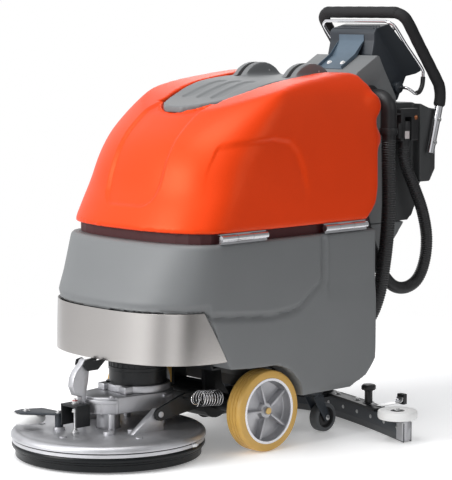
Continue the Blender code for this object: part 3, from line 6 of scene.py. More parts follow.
import bpy
from mathutils import Matrix, Quaternion, Vector
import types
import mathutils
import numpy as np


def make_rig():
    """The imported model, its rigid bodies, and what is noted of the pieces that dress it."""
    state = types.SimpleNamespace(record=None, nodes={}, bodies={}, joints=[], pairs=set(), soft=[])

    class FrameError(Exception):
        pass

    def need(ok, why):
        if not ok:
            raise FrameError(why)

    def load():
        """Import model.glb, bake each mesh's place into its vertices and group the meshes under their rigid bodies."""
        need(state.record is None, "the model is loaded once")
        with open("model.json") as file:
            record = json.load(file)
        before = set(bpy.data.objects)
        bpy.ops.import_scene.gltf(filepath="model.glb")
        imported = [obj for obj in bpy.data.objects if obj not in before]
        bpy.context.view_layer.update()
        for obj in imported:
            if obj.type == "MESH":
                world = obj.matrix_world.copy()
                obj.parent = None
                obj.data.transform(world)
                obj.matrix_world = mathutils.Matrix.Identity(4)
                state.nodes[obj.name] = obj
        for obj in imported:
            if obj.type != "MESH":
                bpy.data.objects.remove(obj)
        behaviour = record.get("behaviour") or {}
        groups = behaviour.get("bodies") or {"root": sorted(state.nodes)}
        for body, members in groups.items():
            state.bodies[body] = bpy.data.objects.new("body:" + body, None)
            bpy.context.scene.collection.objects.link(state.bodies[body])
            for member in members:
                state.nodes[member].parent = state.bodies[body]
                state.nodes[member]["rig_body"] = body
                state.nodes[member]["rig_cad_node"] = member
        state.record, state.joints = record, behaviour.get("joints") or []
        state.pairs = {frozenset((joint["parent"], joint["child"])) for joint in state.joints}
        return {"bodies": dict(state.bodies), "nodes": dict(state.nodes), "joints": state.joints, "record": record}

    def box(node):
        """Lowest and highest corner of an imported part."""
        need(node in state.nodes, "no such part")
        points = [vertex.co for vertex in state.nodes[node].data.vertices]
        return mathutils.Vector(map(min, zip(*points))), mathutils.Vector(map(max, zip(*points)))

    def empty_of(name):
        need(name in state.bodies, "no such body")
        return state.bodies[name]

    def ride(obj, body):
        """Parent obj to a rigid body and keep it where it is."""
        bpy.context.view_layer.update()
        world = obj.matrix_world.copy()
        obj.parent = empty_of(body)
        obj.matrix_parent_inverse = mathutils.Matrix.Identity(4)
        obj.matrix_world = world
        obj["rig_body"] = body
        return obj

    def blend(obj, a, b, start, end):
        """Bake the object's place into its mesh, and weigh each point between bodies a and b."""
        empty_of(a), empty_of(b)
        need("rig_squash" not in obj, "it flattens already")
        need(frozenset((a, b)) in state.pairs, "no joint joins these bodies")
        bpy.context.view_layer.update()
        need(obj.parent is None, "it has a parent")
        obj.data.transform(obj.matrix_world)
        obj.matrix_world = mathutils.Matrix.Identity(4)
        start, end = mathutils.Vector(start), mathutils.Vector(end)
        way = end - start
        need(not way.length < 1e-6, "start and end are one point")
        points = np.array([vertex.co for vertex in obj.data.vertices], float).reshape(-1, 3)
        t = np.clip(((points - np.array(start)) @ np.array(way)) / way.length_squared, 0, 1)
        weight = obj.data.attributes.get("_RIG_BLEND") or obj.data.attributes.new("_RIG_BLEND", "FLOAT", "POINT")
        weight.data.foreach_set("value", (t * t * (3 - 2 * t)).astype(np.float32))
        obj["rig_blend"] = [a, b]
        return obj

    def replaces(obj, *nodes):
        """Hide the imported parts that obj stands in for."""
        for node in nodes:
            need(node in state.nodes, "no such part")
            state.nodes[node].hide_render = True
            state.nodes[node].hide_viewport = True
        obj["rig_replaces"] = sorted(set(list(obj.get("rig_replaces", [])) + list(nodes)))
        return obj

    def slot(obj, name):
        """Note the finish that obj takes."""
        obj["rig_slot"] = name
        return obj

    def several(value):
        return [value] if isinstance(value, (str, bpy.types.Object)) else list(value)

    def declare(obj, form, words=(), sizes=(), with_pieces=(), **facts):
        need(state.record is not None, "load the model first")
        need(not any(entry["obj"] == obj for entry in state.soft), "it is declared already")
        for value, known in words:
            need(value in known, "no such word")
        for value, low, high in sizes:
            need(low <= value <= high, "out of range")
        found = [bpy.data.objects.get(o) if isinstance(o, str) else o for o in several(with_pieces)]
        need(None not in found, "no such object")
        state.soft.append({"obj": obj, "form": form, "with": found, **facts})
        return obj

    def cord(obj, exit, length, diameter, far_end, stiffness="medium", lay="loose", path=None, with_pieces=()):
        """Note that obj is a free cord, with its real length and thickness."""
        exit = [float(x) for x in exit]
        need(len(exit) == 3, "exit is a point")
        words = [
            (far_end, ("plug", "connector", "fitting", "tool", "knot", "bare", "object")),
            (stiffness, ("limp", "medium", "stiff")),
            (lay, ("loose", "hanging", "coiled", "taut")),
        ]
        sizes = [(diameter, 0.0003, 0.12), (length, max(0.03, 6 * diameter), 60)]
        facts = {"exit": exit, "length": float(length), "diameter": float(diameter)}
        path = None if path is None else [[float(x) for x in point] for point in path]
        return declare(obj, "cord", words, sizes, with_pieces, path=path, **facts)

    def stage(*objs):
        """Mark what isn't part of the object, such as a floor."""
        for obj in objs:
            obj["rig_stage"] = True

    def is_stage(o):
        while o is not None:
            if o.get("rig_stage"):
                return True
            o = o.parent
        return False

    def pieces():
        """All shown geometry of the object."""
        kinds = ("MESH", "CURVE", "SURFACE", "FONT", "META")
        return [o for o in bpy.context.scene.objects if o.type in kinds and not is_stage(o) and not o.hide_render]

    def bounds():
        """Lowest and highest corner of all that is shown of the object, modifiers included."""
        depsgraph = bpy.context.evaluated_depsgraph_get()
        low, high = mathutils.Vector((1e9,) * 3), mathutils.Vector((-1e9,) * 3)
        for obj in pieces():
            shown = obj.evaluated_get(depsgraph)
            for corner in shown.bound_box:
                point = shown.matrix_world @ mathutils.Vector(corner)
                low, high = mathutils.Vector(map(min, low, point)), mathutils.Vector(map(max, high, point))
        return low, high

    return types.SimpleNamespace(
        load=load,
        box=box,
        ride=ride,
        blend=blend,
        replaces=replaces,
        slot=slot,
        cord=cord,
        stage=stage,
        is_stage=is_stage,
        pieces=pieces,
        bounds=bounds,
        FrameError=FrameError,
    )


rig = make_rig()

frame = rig.load()
NODES = frame["nodes"]
CAD_BOX = [list(corner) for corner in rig.bounds()]

bl_info = {
    "name": "Floor scrubber finish",
    "version": (1, 0, 0),
    "blender": (4, 5, 0),
    "location": "View3D > Sidebar > Scrubber",
    "description": "Builds the visible shells, hoses, metal parts and stage of a floor scrubber",
    "category": "Object",
}

AXLE_Y = (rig.box("tyre_left")[0].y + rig.box("tyre_left")[1].y) / 2  # the drive axle
SIDES = ((1, "left"), (-1, "right"))
ACROSS = Vector((1, 0, 0))


# ---- the sizes and colours that a user would change ---------------------------------------------
def colour_property(name, default, about):
    return bpy.props.FloatVectorProperty(
        name=name, description=about, default=default, subtype="COLOR", size=3, min=0.0, max=1.0
    )


def length_property(name, default, about):
    return bpy.props.FloatProperty(name=name, description=about, default=default, unit="LENGTH",
                                   precision=4)


class ScrubberColours(bpy.types.PropertyGroup):
    orange: colour_property("Orange shell", (0.8, 0.047, 0.004), "Upper tank's moulded plastic")
    grey: colour_property("Grey shell", (0.16, 0.166, 0.169), "Lower tank, lid and column")
    slate: colour_property("Slate", (0.022, 0.028, 0.036), "Console's moulded plastic")
    bracket: colour_property("Bracket", (0.105, 0.145, 0.185), "Painted sheet under the console")
    black: colour_property("Black", (0.012, 0.012, 0.013), "Hoses, knobs and small mouldings")
    amber: colour_property("Tyre", (0.6, 0.36, 0.085), "Drive tyres' polyurethane")
    white: colour_property("Roller", (0.8, 0.8, 0.79), "Guard rollers")
    steel: colour_property("Steel", (0.64, 0.61, 0.585), "Brushed apron")
    cast: colour_property("Cast metal", (0.56, 0.56, 0.58), "Deck, gearbox and hubs")


class ScrubberSizes(bpy.types.PropertyGroup):
    panel_half: length_property("Panel half width", 0.094, "Half of the recessed front panel's width")
    panel_low: length_property("Panel bottom", 0.603, "Height of the front panel's lower edge")
    panel_depth: length_property("Panel depth", 0.0055, "How deep the front panel lies")
    groove: length_property("Groove", 0.009, "Depth of the step in the lower tank's side")
    rib_pitch: length_property("Hose rib pitch", 0.0062, "Distance from one hose rib to the next")
    rib_height: length_property("Hose rib height", 0.0017, "How far a hose rib stands out")
    coil_wire: length_property("Spring wire", 0.001178, "Radius of the spring's wire")


def sizes():
    return bpy.context.scene.scrubber_sizes


def colours():
    return bpy.context.scene.scrubber_colours


# ---- shader maths: an expression on sockets adds its nodes --------------------------------------
class Value:
    """A number that varies over the surface. Its operators add Math nodes."""

    def __init__(self, shader, socket):
        self.shader = shader
        self.socket = socket

    def maths(self, operation, *others, swap=False):
        inputs = [self, *others]
        if swap:
            inputs.reverse()
        return self.shader.node("ShaderNodeMath", {"operation": operation}, dict(enumerate(inputs)))

    def __add__(self, other):
        return self.maths("ADD", other)

    def __rsub__(self, other):
        return self.maths("SUBTRACT", other, swap=True)

    def __mul__(self, other):
        return self.maths("MULTIPLY", other)

    def above(self, edge, soft):
        """0 under the edge and 1 over it, with a soft step between."""
        settings = {"interpolation_type": "SMOOTHSTEP"}
        return self.shader.node("ShaderNodeMapRange", settings,
                                {"Value": self, "From Min": edge - soft, "From Max": edge + soft})


class Shader:
    """One material with a Principled shader, whose textures read Object coordinates in metres."""

    def __init__(self, name, colour, roughness, metallic=0.0, coat=0.0, specular=0.5):
        self.material = bpy.data.materials.new(name)
        self.material.use_nodes = True
        self.tree = self.material.node_tree
        self.surface = self.tree.nodes["Principled BSDF"]
        self.place = self.tree.nodes.new("ShaderNodeTexCoord").outputs["Object"]
        self.colour = tuple(colour)
        settings = {"Base Color": (*colour, 1.0), "Roughness": roughness, "Metallic": metallic,
                    "Coat Weight": coat, "Specular IOR Level": specular}
        for socket, value in settings.items():
            self.surface.inputs[socket].default_value = value
        self.material.diffuse_color = (*colour, 1.0)

    def node(self, kind, settings=None, inputs=None, output=0):
        """A node with its settings and inputs, each a number, a colour, a vector or another socket."""
        made = self.tree.nodes.new(kind)
        for name, value in (settings or {}).items():
            setattr(made, name, value)
        for name, value in (inputs or {}).items():
            socket = made.inputs[name]
            if isinstance(value, Value):
                value = value.socket
            if isinstance(value, bpy.types.NodeSocket):
                self.tree.links.new(value, socket)
            else:
                socket.default_value = value
        return Value(self, made.outputs[output])

    def noise(self, scale, detail=2.0, stretch=(1, 1, 1), roughness=0.5):
        """Noise from 0 to 1; the scale is in features per metre, and the stretch multiplies it by axis."""
        place = self.node("ShaderNodeMapping", {}, {"Vector": self.place, "Scale": stretch})
        return self.node("ShaderNodeTexNoise", {},
                         {"Vector": place, "Scale": scale, "Detail": detail, "Roughness": roughness})

    def axis(self, name):
        return self.node("ShaderNodeSeparateXYZ", {}, {"Vector": self.place}, "XYZ".index(name))

    def mix(self, factor, first, second):
        made = self.tree.nodes.new("ShaderNodeMix")
        made.data_type = "RGBA"
        for index, value in ((0, factor), (6, first), (7, second)):
            if isinstance(value, Value):
                self.tree.links.new(value.socket, made.inputs[index])
            else:
                made.inputs[index].default_value = value if index == 0 else (*value[:3], 1.0)
        return Value(self, made.outputs[2])

    def shade(self, factor, low=0.8, high=1.2):
        """The base colour darkened and lightened by a factor from 0 to 1."""
        dark = [min(1.0, part * low) for part in self.colour]
        light = [min(1.0, part * high) for part in self.colour]
        return self.mix(factor, dark, light)

    def to(self, socket, value):
        self.tree.links.new(value.socket, self.surface.inputs[socket])

    def bump(self, height, depth):
        """Bump from a height of 0 to 1, which stands for that depth in metres."""
        bump = self.node("ShaderNodeBump", {}, {"Strength": 1.0, "Distance": depth, "Height": height})
        self.to("Normal", bump)


def moulded(name, colour, roughness, grain=0.00012, scale=420.0, specular=0.5, gloss_tint=(1.0, 1.0, 1.0)):
    """Rotomoulded or injected plastic: a fine grain, faint clouding and a little scuffing."""
    shader = Shader(name, colour, roughness, specular=specular)
    shader.surface.inputs["Specular Tint"].default_value = (*gloss_tint, 1.0)
    grains = shader.noise(scale, 3.0)
    clouds = shader.noise(7.0, 2.0)
    shader.to("Base Color", shader.shade(grains * 0.45 + clouds * 0.55, 0.9, 1.1))
    shader.to("Roughness", clouds * 0.1 + grains * 0.1 + (roughness - 0.1))
    shader.bump(grains, grain)
    return shader.material


def painted(name, colour, roughness, metallic=0.2):
    """Powder coat: orange peel, and paint worn a little thin in patches."""
    shader = Shader(name, colour, roughness, metallic, coat=0.08, specular=0.35)
    peel = shader.noise(260.0, 2.0)
    wear = shader.noise(18.0, 4.0)
    shader.to("Base Color", shader.shade(wear, 0.75, 1.35))
    shader.to("Roughness", wear * 0.18 + (roughness - 0.09))
    shader.bump(peel, 0.00012)
    return shader.material


def cast_metal(name, colour, roughness, dirt=0.35):
    """Cast aluminium: sand-cast pits, a dull oxide cloud and brighter worn places."""
    shader = Shader(name, colour, roughness, metallic=0.92)
    sand = shader.noise(520.0, 4.0, roughness=0.6)
    oxide = shader.noise(16.0, 5.0, roughness=0.6)
    shader.to("Base Color", shader.shade(oxide * 0.8 + sand * 0.2, 1.0 - dirt, 1.0 + dirt * 0.6))
    shader.to("Roughness", oxide * 0.22 + sand * 0.08 + (roughness - 0.14))
    shader.bump(sand, 0.00025)
    return shader.material


def bright_metal(name, colour, roughness, scale=300.0):
    """Plated or polished metal with faint handling marks."""
    shader = Shader(name, colour, roughness, metallic=1.0)
    marks = shader.noise(scale, 3.0)
    smears = shader.noise(22.0, 3.0)
    shader.to("Base Color", shader.shade(smears, 0.88, 1.06))
    shader.to("Roughness", marks * 0.05 + smears * 0.08 + max(0.0, roughness - 0.065))
    shader.bump(marks, 0.00002)
    return shader.material


def brushed_steel(colour):
    """The apron's stainless sheet, brushed lengthwise round the nose."""
    shader = Shader("brushed_steel", colour, 0.3, metallic=1.0)
    lines = shader.noise(70.0, 4.0, (1.0, 1.0, 45.0), roughness=0.7)
    clouds = shader.noise(5.0, 2.0)
    shader.to("Base Color", shader.shade(lines * 0.6 + clouds * 0.4, 0.84, 1.12))
    shader.to("Roughness", lines * 0.1 + clouds * 0.06 + 0.12)
    shader.bump(lines, 0.00003)
    return shader.material


def rubber(name, colour, roughness, dust=0.25, specular=0.45):
    """Rubber with fine moulding grain and pale dust in patches."""
    shader = Shader(name, colour, roughness, specular=specular)
    grain = shader.noise(600.0, 3.0)
    dusty = shader.noise(30.0, 5.0, roughness=0.65).above(0.56, 0.14)
    pale = [part * 0.6 + 0.06 for part in colour]
    shader.to("Base Color", shader.mix(dusty * dust, colour, pale))
    shader.to("Roughness", dusty * 0.12 + grain * 0.1 + (roughness - 0.06))
    shader.bump(grain, 0.0001)
    return shader.material


def foam(colour):
    """The handle's closed-cell foam: open pores that catch little light."""
    shader = Shader("grip_foam", colour, 0.72, specular=0.3)
    pores = shader.node("ShaderNodeTexVoronoi", {}, {"Vector": shader.place, "Scale": 620.0})
    cloud = shader.noise(40.0, 3.0)
    shader.to("Base Color", shader.shade(cloud * 0.5 + pores * 0.5, 0.7, 1.5))
    shader.to("Roughness", cloud * 0.1 + 0.64)
    shader.bump(pores, 0.00035)
    return shader.material


def bristles(colour):
    """Nylon filaments, as fine upright streaks of light and dark."""
    shader = Shader("brush_filament", colour, 0.8)
    streaks = shader.noise(900.0, 2.0, (1.0, 1.0, 0.03))
    tufts = shader.noise(160.0, 2.0, (1.0, 1.0, 0.05))
    shader.to("Base Color", shader.shade(streaks * 0.5 + tufts * 0.5, 0.3, 2.2))
    shader.bump(tufts * 0.6 + streaks * 0.4, 0.0015)
    return shader.material


def make_finishes():
    """Every material by name, made once."""
    tint = colours()
    metal = (0.8, 0.8, 0.82)
    return {
        "orange": moulded("orange_shell", tint.orange, 0.38, grain=0.00016, scale=340.0, specular=0.46,
                          gloss_tint=(1.0, 0.62, 0.3)),
        "grey": moulded("grey_shell", tint.grey, 0.5, grain=0.00014, scale=380.0),
        "grey_rear": moulded("rear_shell_plastic", [part * 0.3 for part in tint.grey], 0.46),
        "slate": moulded("slate_shell", tint.slate, 0.4, grain=0.0001, scale=520.0),
        "black": moulded("black_moulding", tint.black, 0.42, grain=0.00008, scale=600.0),
        "battery": moulded("battery_case", (0.03, 0.03, 0.035), 0.5),
        "bracket": painted("bracket_paint", tint.bracket, 0.34, 0.4),
        "black_paint": painted("black_paint", (0.006, 0.007, 0.008), 0.42, 0.0),
        "chrome": bright_metal("chrome", metal, 0.12),
        "zinc": bright_metal("zinc_plate", (0.62, 0.62, 0.62), 0.3, scale=500.0),
        "brass": bright_metal("brass_end", (0.58, 0.4, 0.16), 0.3),
        "copper": bright_metal("copper_screw", (0.6, 0.26, 0.13), 0.28),
        "spring": bright_metal("spring_wire", (0.86, 0.86, 0.87), 0.2),
        "steel": brushed_steel(tint.steel),
        "cast": cast_metal("cast_deck", tint.cast, 0.44),
        "hub": cast_metal("cast_hub", [part * 0.92 for part in tint.cast], 0.4, dirt=0.45),
        "rim": bright_metal("turned_rim", (0.72, 0.72, 0.74), 0.24, scale=700.0),
        "amber": rubber("amber_tyre", tint.amber, 0.36, dust=0.12),
        "skirt_rubber": rubber("deck_rubber", (0.003, 0.004, 0.005), 0.3, dust=0.03, specular=0.22),
        "grey_rubber": rubber("grey_rubber", (0.085, 0.09, 0.095), 0.52),
        # painted shade: the seal ring's dark red stands for the orange tank's lower step lying in shadow in the gap
        # between the tanks
        "seal": rubber("dark_red_seal", (0.06, 0.01, 0.012), 0.55, dust=0.05),
        "white": moulded("white_roller", tint.white, 0.36, grain=0.00006),
        "foam": foam((0.015, 0.015, 0.016)),
        "bristle": bristles((0.045, 0.055, 0.085)),
        "label": moulded("blank_label", (0.62, 0.56, 0.55), 0.45, grain=0.00002),
        "red_mark": moulded("red_mark", (0.42, 0.03, 0.02), 0.5),
    }


FINISHES = {}


# ---- modelling helpers ------------------------------------------------------------------------
def deselect():
    """Leaves nothing selected, in object mode."""
    if bpy.context.mode != "OBJECT":
        bpy.ops.object.mode_set(mode="OBJECT")
    bpy.ops.object.select_all(action="DESELECT")


def take(*pieces):
    """Selects these pieces alone, the first one active."""
    deselect()
    for piece in pieces:
        piece.select_set(True)
    bpy.context.view_layer.objects.active = pieces[0]
    return pieces[0]


def settle(piece):
    """Puts the piece's place and size into its mesh."""
    take(piece)
    bpy.ops.object.transform_apply(location=True, rotation=True, scale=True)
    return piece


def apply(piece, kind, **settings):
    """Adds a modifier with its settings and applies it."""
    take(piece)
    modifier = piece.modifiers.new(kind.lower(), kind)
    for name, value in settings.items():
        setattr(modifier, name, value)
    bpy.ops.object.modifier_apply(modifier=modifier.name)
    return piece


def bevel(piece, width, segments=3, angle=30):
    """Rounds the edges that turn by more than an angle."""
    return apply(piece, "BEVEL", width=width, segments=segments, limit_method="ANGLE",
                 angle_limit=math.radians(angle))


def carve(piece, *tools, operation="DIFFERENCE"):
    """Cuts the tools out of the piece, or does another operation with them, and removes them."""
    for tool in tools:
        apply(piece, "BOOLEAN", object=tool, operation=operation)
        bpy.data.objects.remove(tool)
    return piece


def unite(piece, *tools):
    return carve(piece, *tools, operation="UNION")


def joined(pieces):
    """Several loose shells as one object."""
    take(*pieces)
    if len(pieces) > 1:
        bpy.ops.object.join()
    return bpy.context.view_layer.objects.active


def outwards(piece):
    """Turns all faces outwards."""
    take(piece)
    bpy.ops.object.mode_set(mode="EDIT")
    bpy.ops.mesh.select_all(action="SELECT")
    bpy.ops.mesh.normals_make_consistent(inside=False)
    bpy.ops.object.mode_set(mode="OBJECT")
    return piece


def done(piece, name, body, finish, *nodes, slot, smooth=32):
    """Names a piece, gives it its material and slot, and hangs it on its body in place of CAD nodes."""
    settle(piece)
    piece.name = piece.data.name = name
    bpy.ops.object.shade_smooth_by_angle(angle=math.radians(smooth))
    piece.data.materials.clear()
    piece.data.materials.append(FINISHES[finish])
    if body:
        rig.ride(piece, body)
    if nodes:
        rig.replaces(piece, *nodes)
    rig.slot(piece, slot)
    return piece


def box(low, high, edge=0.0, segments=2):
    """A block between two corners, with its edges rounded."""
    low, high = Vector(low), Vector(high)
    deselect()
    bpy.ops.mesh.primitive_cube_add(size=1, location=(low + high) / 2)
    piece = bpy.context.object
    piece.scale = high - low
    settle(piece)
    return bevel(piece, edge, segments) if edge else piece


def rod(start, end, radius, sides=32, edge=0.0):
    """A round bar between two points, with its rims rounded."""
    start, end = Vector(start), Vector(end)
    way = end - start
    deselect()
    bpy.ops.mesh.primitive_cone_add(
        vertices=sides, radius1=radius, radius2=radius, depth=way.length,
        location=(start + end) / 2, rotation=way.to_track_quat("Z", "Y").to_euler()
    )
    piece = settle(bpy.context.object)
    return bevel(piece, edge, 2, 40) if edge else piece


def plate(outline, low, high, axis="X", edge=0.0, segments=2, angle=30):
    """An outline in the other two axes, filled and extruded along one, with its edges rounded."""
    across = "XYZ".index(axis)
    rest = [i for i in range(3) if i != across]
    deselect()
    bpy.ops.mesh.primitive_circle_add(vertices=len(outline), radius=1, fill_type="NGON")
    piece = bpy.context.object
    for vert, point in zip(piece.data.vertices, outline):
        place = [0, 0, 0]
        place[across], place[rest[0]], place[rest[1]] = low, point[0], point[1]
        vert.co = place
    push = [0, 0, 0]
    push[across] = high - low
    bpy.ops.object.mode_set(mode="EDIT")
    bpy.ops.mesh.select_all(action="SELECT")
    bpy.ops.mesh.extrude_region_move(TRANSFORM_OT_translate={"value": push})
    bpy.ops.mesh.select_all(action="SELECT")
    bpy.ops.mesh.normals_make_consistent(inside=False)
    bpy.ops.object.mode_set(mode="OBJECT")
    return bevel(piece, edge, segments, angle) if edge else piece


def skin(columns, rows, place, caps=True):
    """A grid bent round into a tube: place(u, v) is the point at u round it and v along it, each 0 to 1."""
    deselect()
    bpy.ops.mesh.primitive_grid_add(x_subdivisions=columns, y_subdivisions=rows, size=2)
    piece = bpy.context.object
    for vert in piece.data.vertices:
        vert.co = place((vert.co.x + 1) / 2, (vert.co.y + 1) / 2)
    bpy.ops.object.mode_set(mode="EDIT")
    bpy.ops.mesh.select_all(action="SELECT")
    bpy.ops.mesh.remove_doubles(threshold=1e-6)
    if caps:
        bpy.ops.mesh.select_all(action="DESELECT")
        bpy.ops.mesh.select_non_manifold()
        bpy.ops.mesh.fill_holes(sides=0)
    bpy.ops.mesh.select_all(action="SELECT")
    bpy.ops.mesh.normals_make_consistent(inside=False)
    bpy.ops.object.mode_set(mode="OBJECT")
    return piece


def turned(profile, centre, axis="Z", steps=64):
    """A closed (radius, height) profile spun round an axis through the centre."""
    turn = {"X": Matrix.Rotation(math.radians(90), 3, "Y"), "Y": Matrix.Rotation(math.radians(-90), 3, "X"),
            "Z": Matrix.Identity(3)}[axis]
    loop = profile + profile[:1]
    centre = Vector(centre)

    def place(u, v):
        radius, height = loop[round(v * (len(loop) - 1))]
        angle = math.tau * u
        return centre + turn @ Vector((radius * math.cos(angle), radius * math.sin(angle), height))

    return skin(steps, len(loop) - 1, place, caps=False)


def arc(centre, radius, start, end, steps):
    """Points of a circle's arc in a plane, from one angle in degrees to another."""
    turns = [math.radians(start + (end - start) * i / steps) for i in range(steps + 1)]
    return [(centre[0] + radius * math.cos(t), centre[1] + radius * math.sin(t)) for t in turns]


def smooth_path(points, steps=6):
    """A Catmull-Rom curve through the points."""
    points = [Vector(point) for point in points]
    padded = [2 * points[0] - points[1]] + points + [2 * points[-1] - points[-2]]
    path = [points[0]]
    for a, b, c, d in zip(padded, padded[1:], padded[2:], padded[3:]):
        for i in range(1, steps + 1):
            t = i / steps
            path.append(0.5 * (2 * b + (c - a) * t + (2 * a - 5 * b + 4 * c - d) * t**2
                               + (3 * b - 3 * c + d - a) * t**3))
    return path


def path_length(path):
    """The length of a line of points."""
    return sum((b - a).length for a, b in zip(path, path[1:]))


def along(path, count):
    """Points, directions and sideways vectors at equal steps along a path, without twist."""
    lengths = [0.0]
    for a, b in zip(path, path[1:]):
        lengths.append(lengths[-1] + (b - a).length)
    places, part = [], 0
    for i in range(count + 1):
        wanted = lengths[-1] * i / count
        while part < len(path) - 2 and lengths[part + 1] < wanted:
            part += 1
        share = (wanted - lengths[part]) / max(1e-9, lengths[part + 1] - lengths[part])
        places.append(path[part].lerp(path[part + 1], share))
    ways = [(places[min(i + 1, count)] - places[max(i - 1, 0)]).normalized() for i in range(count + 1)]
    side = ways[0].orthogonal().normalized()
    sides = []
    for i, way in enumerate(ways):
        if i:
            side = ways[i - 1].rotation_difference(way) @ side
        sides.append(side)
    return places, ways, sides


def tube(points, radius, columns=16, rows=60, smooth=6, shape=None):
    """A round bar along a smooth path; shape(distance) may vary its radius."""
    path = smooth_path(points, smooth) if smooth else [Vector(point) for point in points]
    length = path_length(path)
    places, ways, sides = along(path, rows)

    def place(u, v):
        i = round(v * rows)
        size = shape(v * length) if shape else radius
        return places[i] + Quaternion(ways[i], math.tau * u) @ sides[i] * size

    return skin(columns, rows, place)


def soft_step(value, low, high):
    """0 under low and 1 over high, smooth between."""
    share = min(1.0, max(0.0, (value - low) / (high - low)))
    return share * share * (3 - 2 * share)


def mirrored(piece):
    """A copy on the other side of the machine, with its own mesh."""
    take(piece)
    bpy.ops.object.duplicate(linked=False)
    copy = bpy.context.object
    for vert in copy.data.vertices:
        vert.co.x = -vert.co.x
    return outwards(copy)


def screw_head(place, way, radius, height=0.0025, socket=True):
    """A domed screw head with a hexagon socket, on its washer."""
    place, way = Vector(place), Vector(way).normalized()
    washer = rod(place, place + way * height * 0.3, radius * 1.45, 24, radius * 0.06)
    head = rod(place + way * height * 0.25, place + way * height, radius, 24, radius * 0.22)
    if socket:
        hole = rod(place + way * height * 0.55, place + way * height * 1.3, radius * 0.48, 6)
        carve(head, hole)
    return joined([head, washer])


def hex_nut(place, way, radius, height):
    """A hexagon nut or bolt head that stands on a place."""
    place, way = Vector(place), Vector(way).normalized()
    return rod(place, place + way * height, radius, 6, radius * 0.08)


def at(x, y, z):
    """A point given from the drive axle's middle on the floor."""
    return Vector((x, y + AXLE_Y, z))


# ---- the stage: camera, lights and floor --------------------------------------------------------
CAMERA_PLACE = (3.743, -3.511, 1.086)
CAMERA_DIP, CAMERA_TURN = 6.641, 46.988  # degrees below level, and to the left of straight back
CAMERA_LENS = 153.04
LIGHTS = (  # name, place, aim, size, power
    ("key_softbox", (-0.9, -3.6, 2.0), (0, -0.2, 0.55), (1.8, 1.8), 80),
    ("side_softbox", (3.4, 1.2, 2.2), (0, 0, 0.5), (1.0, 1.6), 9),
    ("top_softbox", (0.0, -1.1, 3.1), (0, 0, 0.5), (1.5, 1.5), 34),
    ("rear_softbox", (-2.6, 2.6, 2.0), (0, 0, 0.6), (1.6, 1.6), 14),
)


class SCRUBBER_OT_stage(bpy.types.Operator):
    """Set up the camera, the pale floor and the soft studio lights"""
    bl_idname = "scrubber.stage"
    bl_label = "Stage"

    def execute(self, context):
        deselect()
        turn = (math.radians(90 - CAMERA_DIP), 0, math.radians(CAMERA_TURN))
        bpy.ops.object.camera_add(location=CAMERA_PLACE, rotation=turn)
        camera = context.object
        camera.name = "camera"
        camera.data.lens = CAMERA_LENS
        camera.data.sensor_width = 36
        camera.data.clip_end = 60
        context.scene.camera = camera
        context.scene.view_settings.view_transform = "Standard"
        self.floor()
        for name, place, aim, size, power in LIGHTS:
            way = Vector(aim) - Vector(place)
            turn = way.to_track_quat("-Z", "Y").to_euler()
            bpy.ops.object.light_add(type="AREA", location=place, rotation=turn)
            light = context.object
            light.name = name
            light.data.shape = "RECTANGLE"
            light.data.size, light.data.size_y = size
            light.data.energy = power
        world = bpy.data.worlds.new("studio")
        world.use_nodes = True
        world.node_tree.nodes["Background"].inputs["Color"].default_value = (1.0, 1.0, 1.0, 1.0)
        self.surround(world.node_tree)
        context.scene.world = world
        return {"FINISHED"}

    def surround(self, tree):
        """White where the camera sees it, and softer as a light, so that the side lies in shade."""
        shown = tree.nodes["Background"]
        lit = tree.nodes.new("ShaderNodeBackground")
        lit.inputs["Color"].default_value = (0.97, 0.98, 1.0, 1.0)

        def maths(kind, operation, inputs, output=0):
            """A node that works on its inputs, each a number, a vector or another node's socket."""
            made = tree.nodes.new(kind)
            made.operation = operation
            for socket, value in zip(made.inputs, inputs):
                if isinstance(value, bpy.types.NodeSocket):
                    tree.links.new(value, socket)
                else:
                    socket.default_value = value
            return made.outputs[output]

        way = tree.nodes.new("ShaderNodeTexCoord").outputs["Generated"]
        slope = maths("ShaderNodeVectorMath", "DOT_PRODUCT", (way, (-0.24, -0.34, 0.22)), "Value")
        level = maths("ShaderNodeMath", "ADD", (slope, 0.54))
        across = maths("ShaderNodeVectorMath", "DOT_PRODUCT", (way, (6.5, 4.0, 0.8)), "Value")
        wave = maths("ShaderNodeMath", "SINE", (across,))
        tree.links.new(maths("ShaderNodeMath", "MULTIPLY_ADD", (wave, 0.2, level)), lit.inputs["Strength"])
        choice = tree.nodes.new("ShaderNodeMixShader")
        path = tree.nodes.new("ShaderNodeLightPath")
        tree.links.new(path.outputs["Is Camera Ray"], choice.inputs[0])
        tree.links.new(lit.outputs[0], choice.inputs[1])
        tree.links.new(shown.outputs[0], choice.inputs[2])
        tree.links.new(choice.outputs[0], tree.nodes["World Output"].inputs["Surface"])

    def floor(self):
        """A pale floor that meets the white surround far behind."""
        deselect()
        bpy.ops.mesh.primitive_plane_add(size=60, location=(0, 0, -0.0005))
        floor = settle(bpy.context.object)
        floor.name = "floor"
        shader = Shader("pale_floor", (0.97, 0.97, 0.97), 0.55, specular=0.2)
        cloud = shader.noise(1.2, 2.0)
        shader.to("Base Color", shader.shade(cloud, 0.985, 1.01))
        away = shader.node("ShaderNodeVectorMath", {"operation": "LENGTH"}, {0: shader.place}, "Value")
        shader.to("Alpha", 1.0 - away.above(1.5, 0.6))
        shader.surface.inputs["Emission Color"].default_value = (1.0, 1.0, 1.0, 1.0)
        shader.surface.inputs["Emission Strength"].default_value = 0.22
        floor.data.materials.append(shader.material)
        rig.stage(floor)


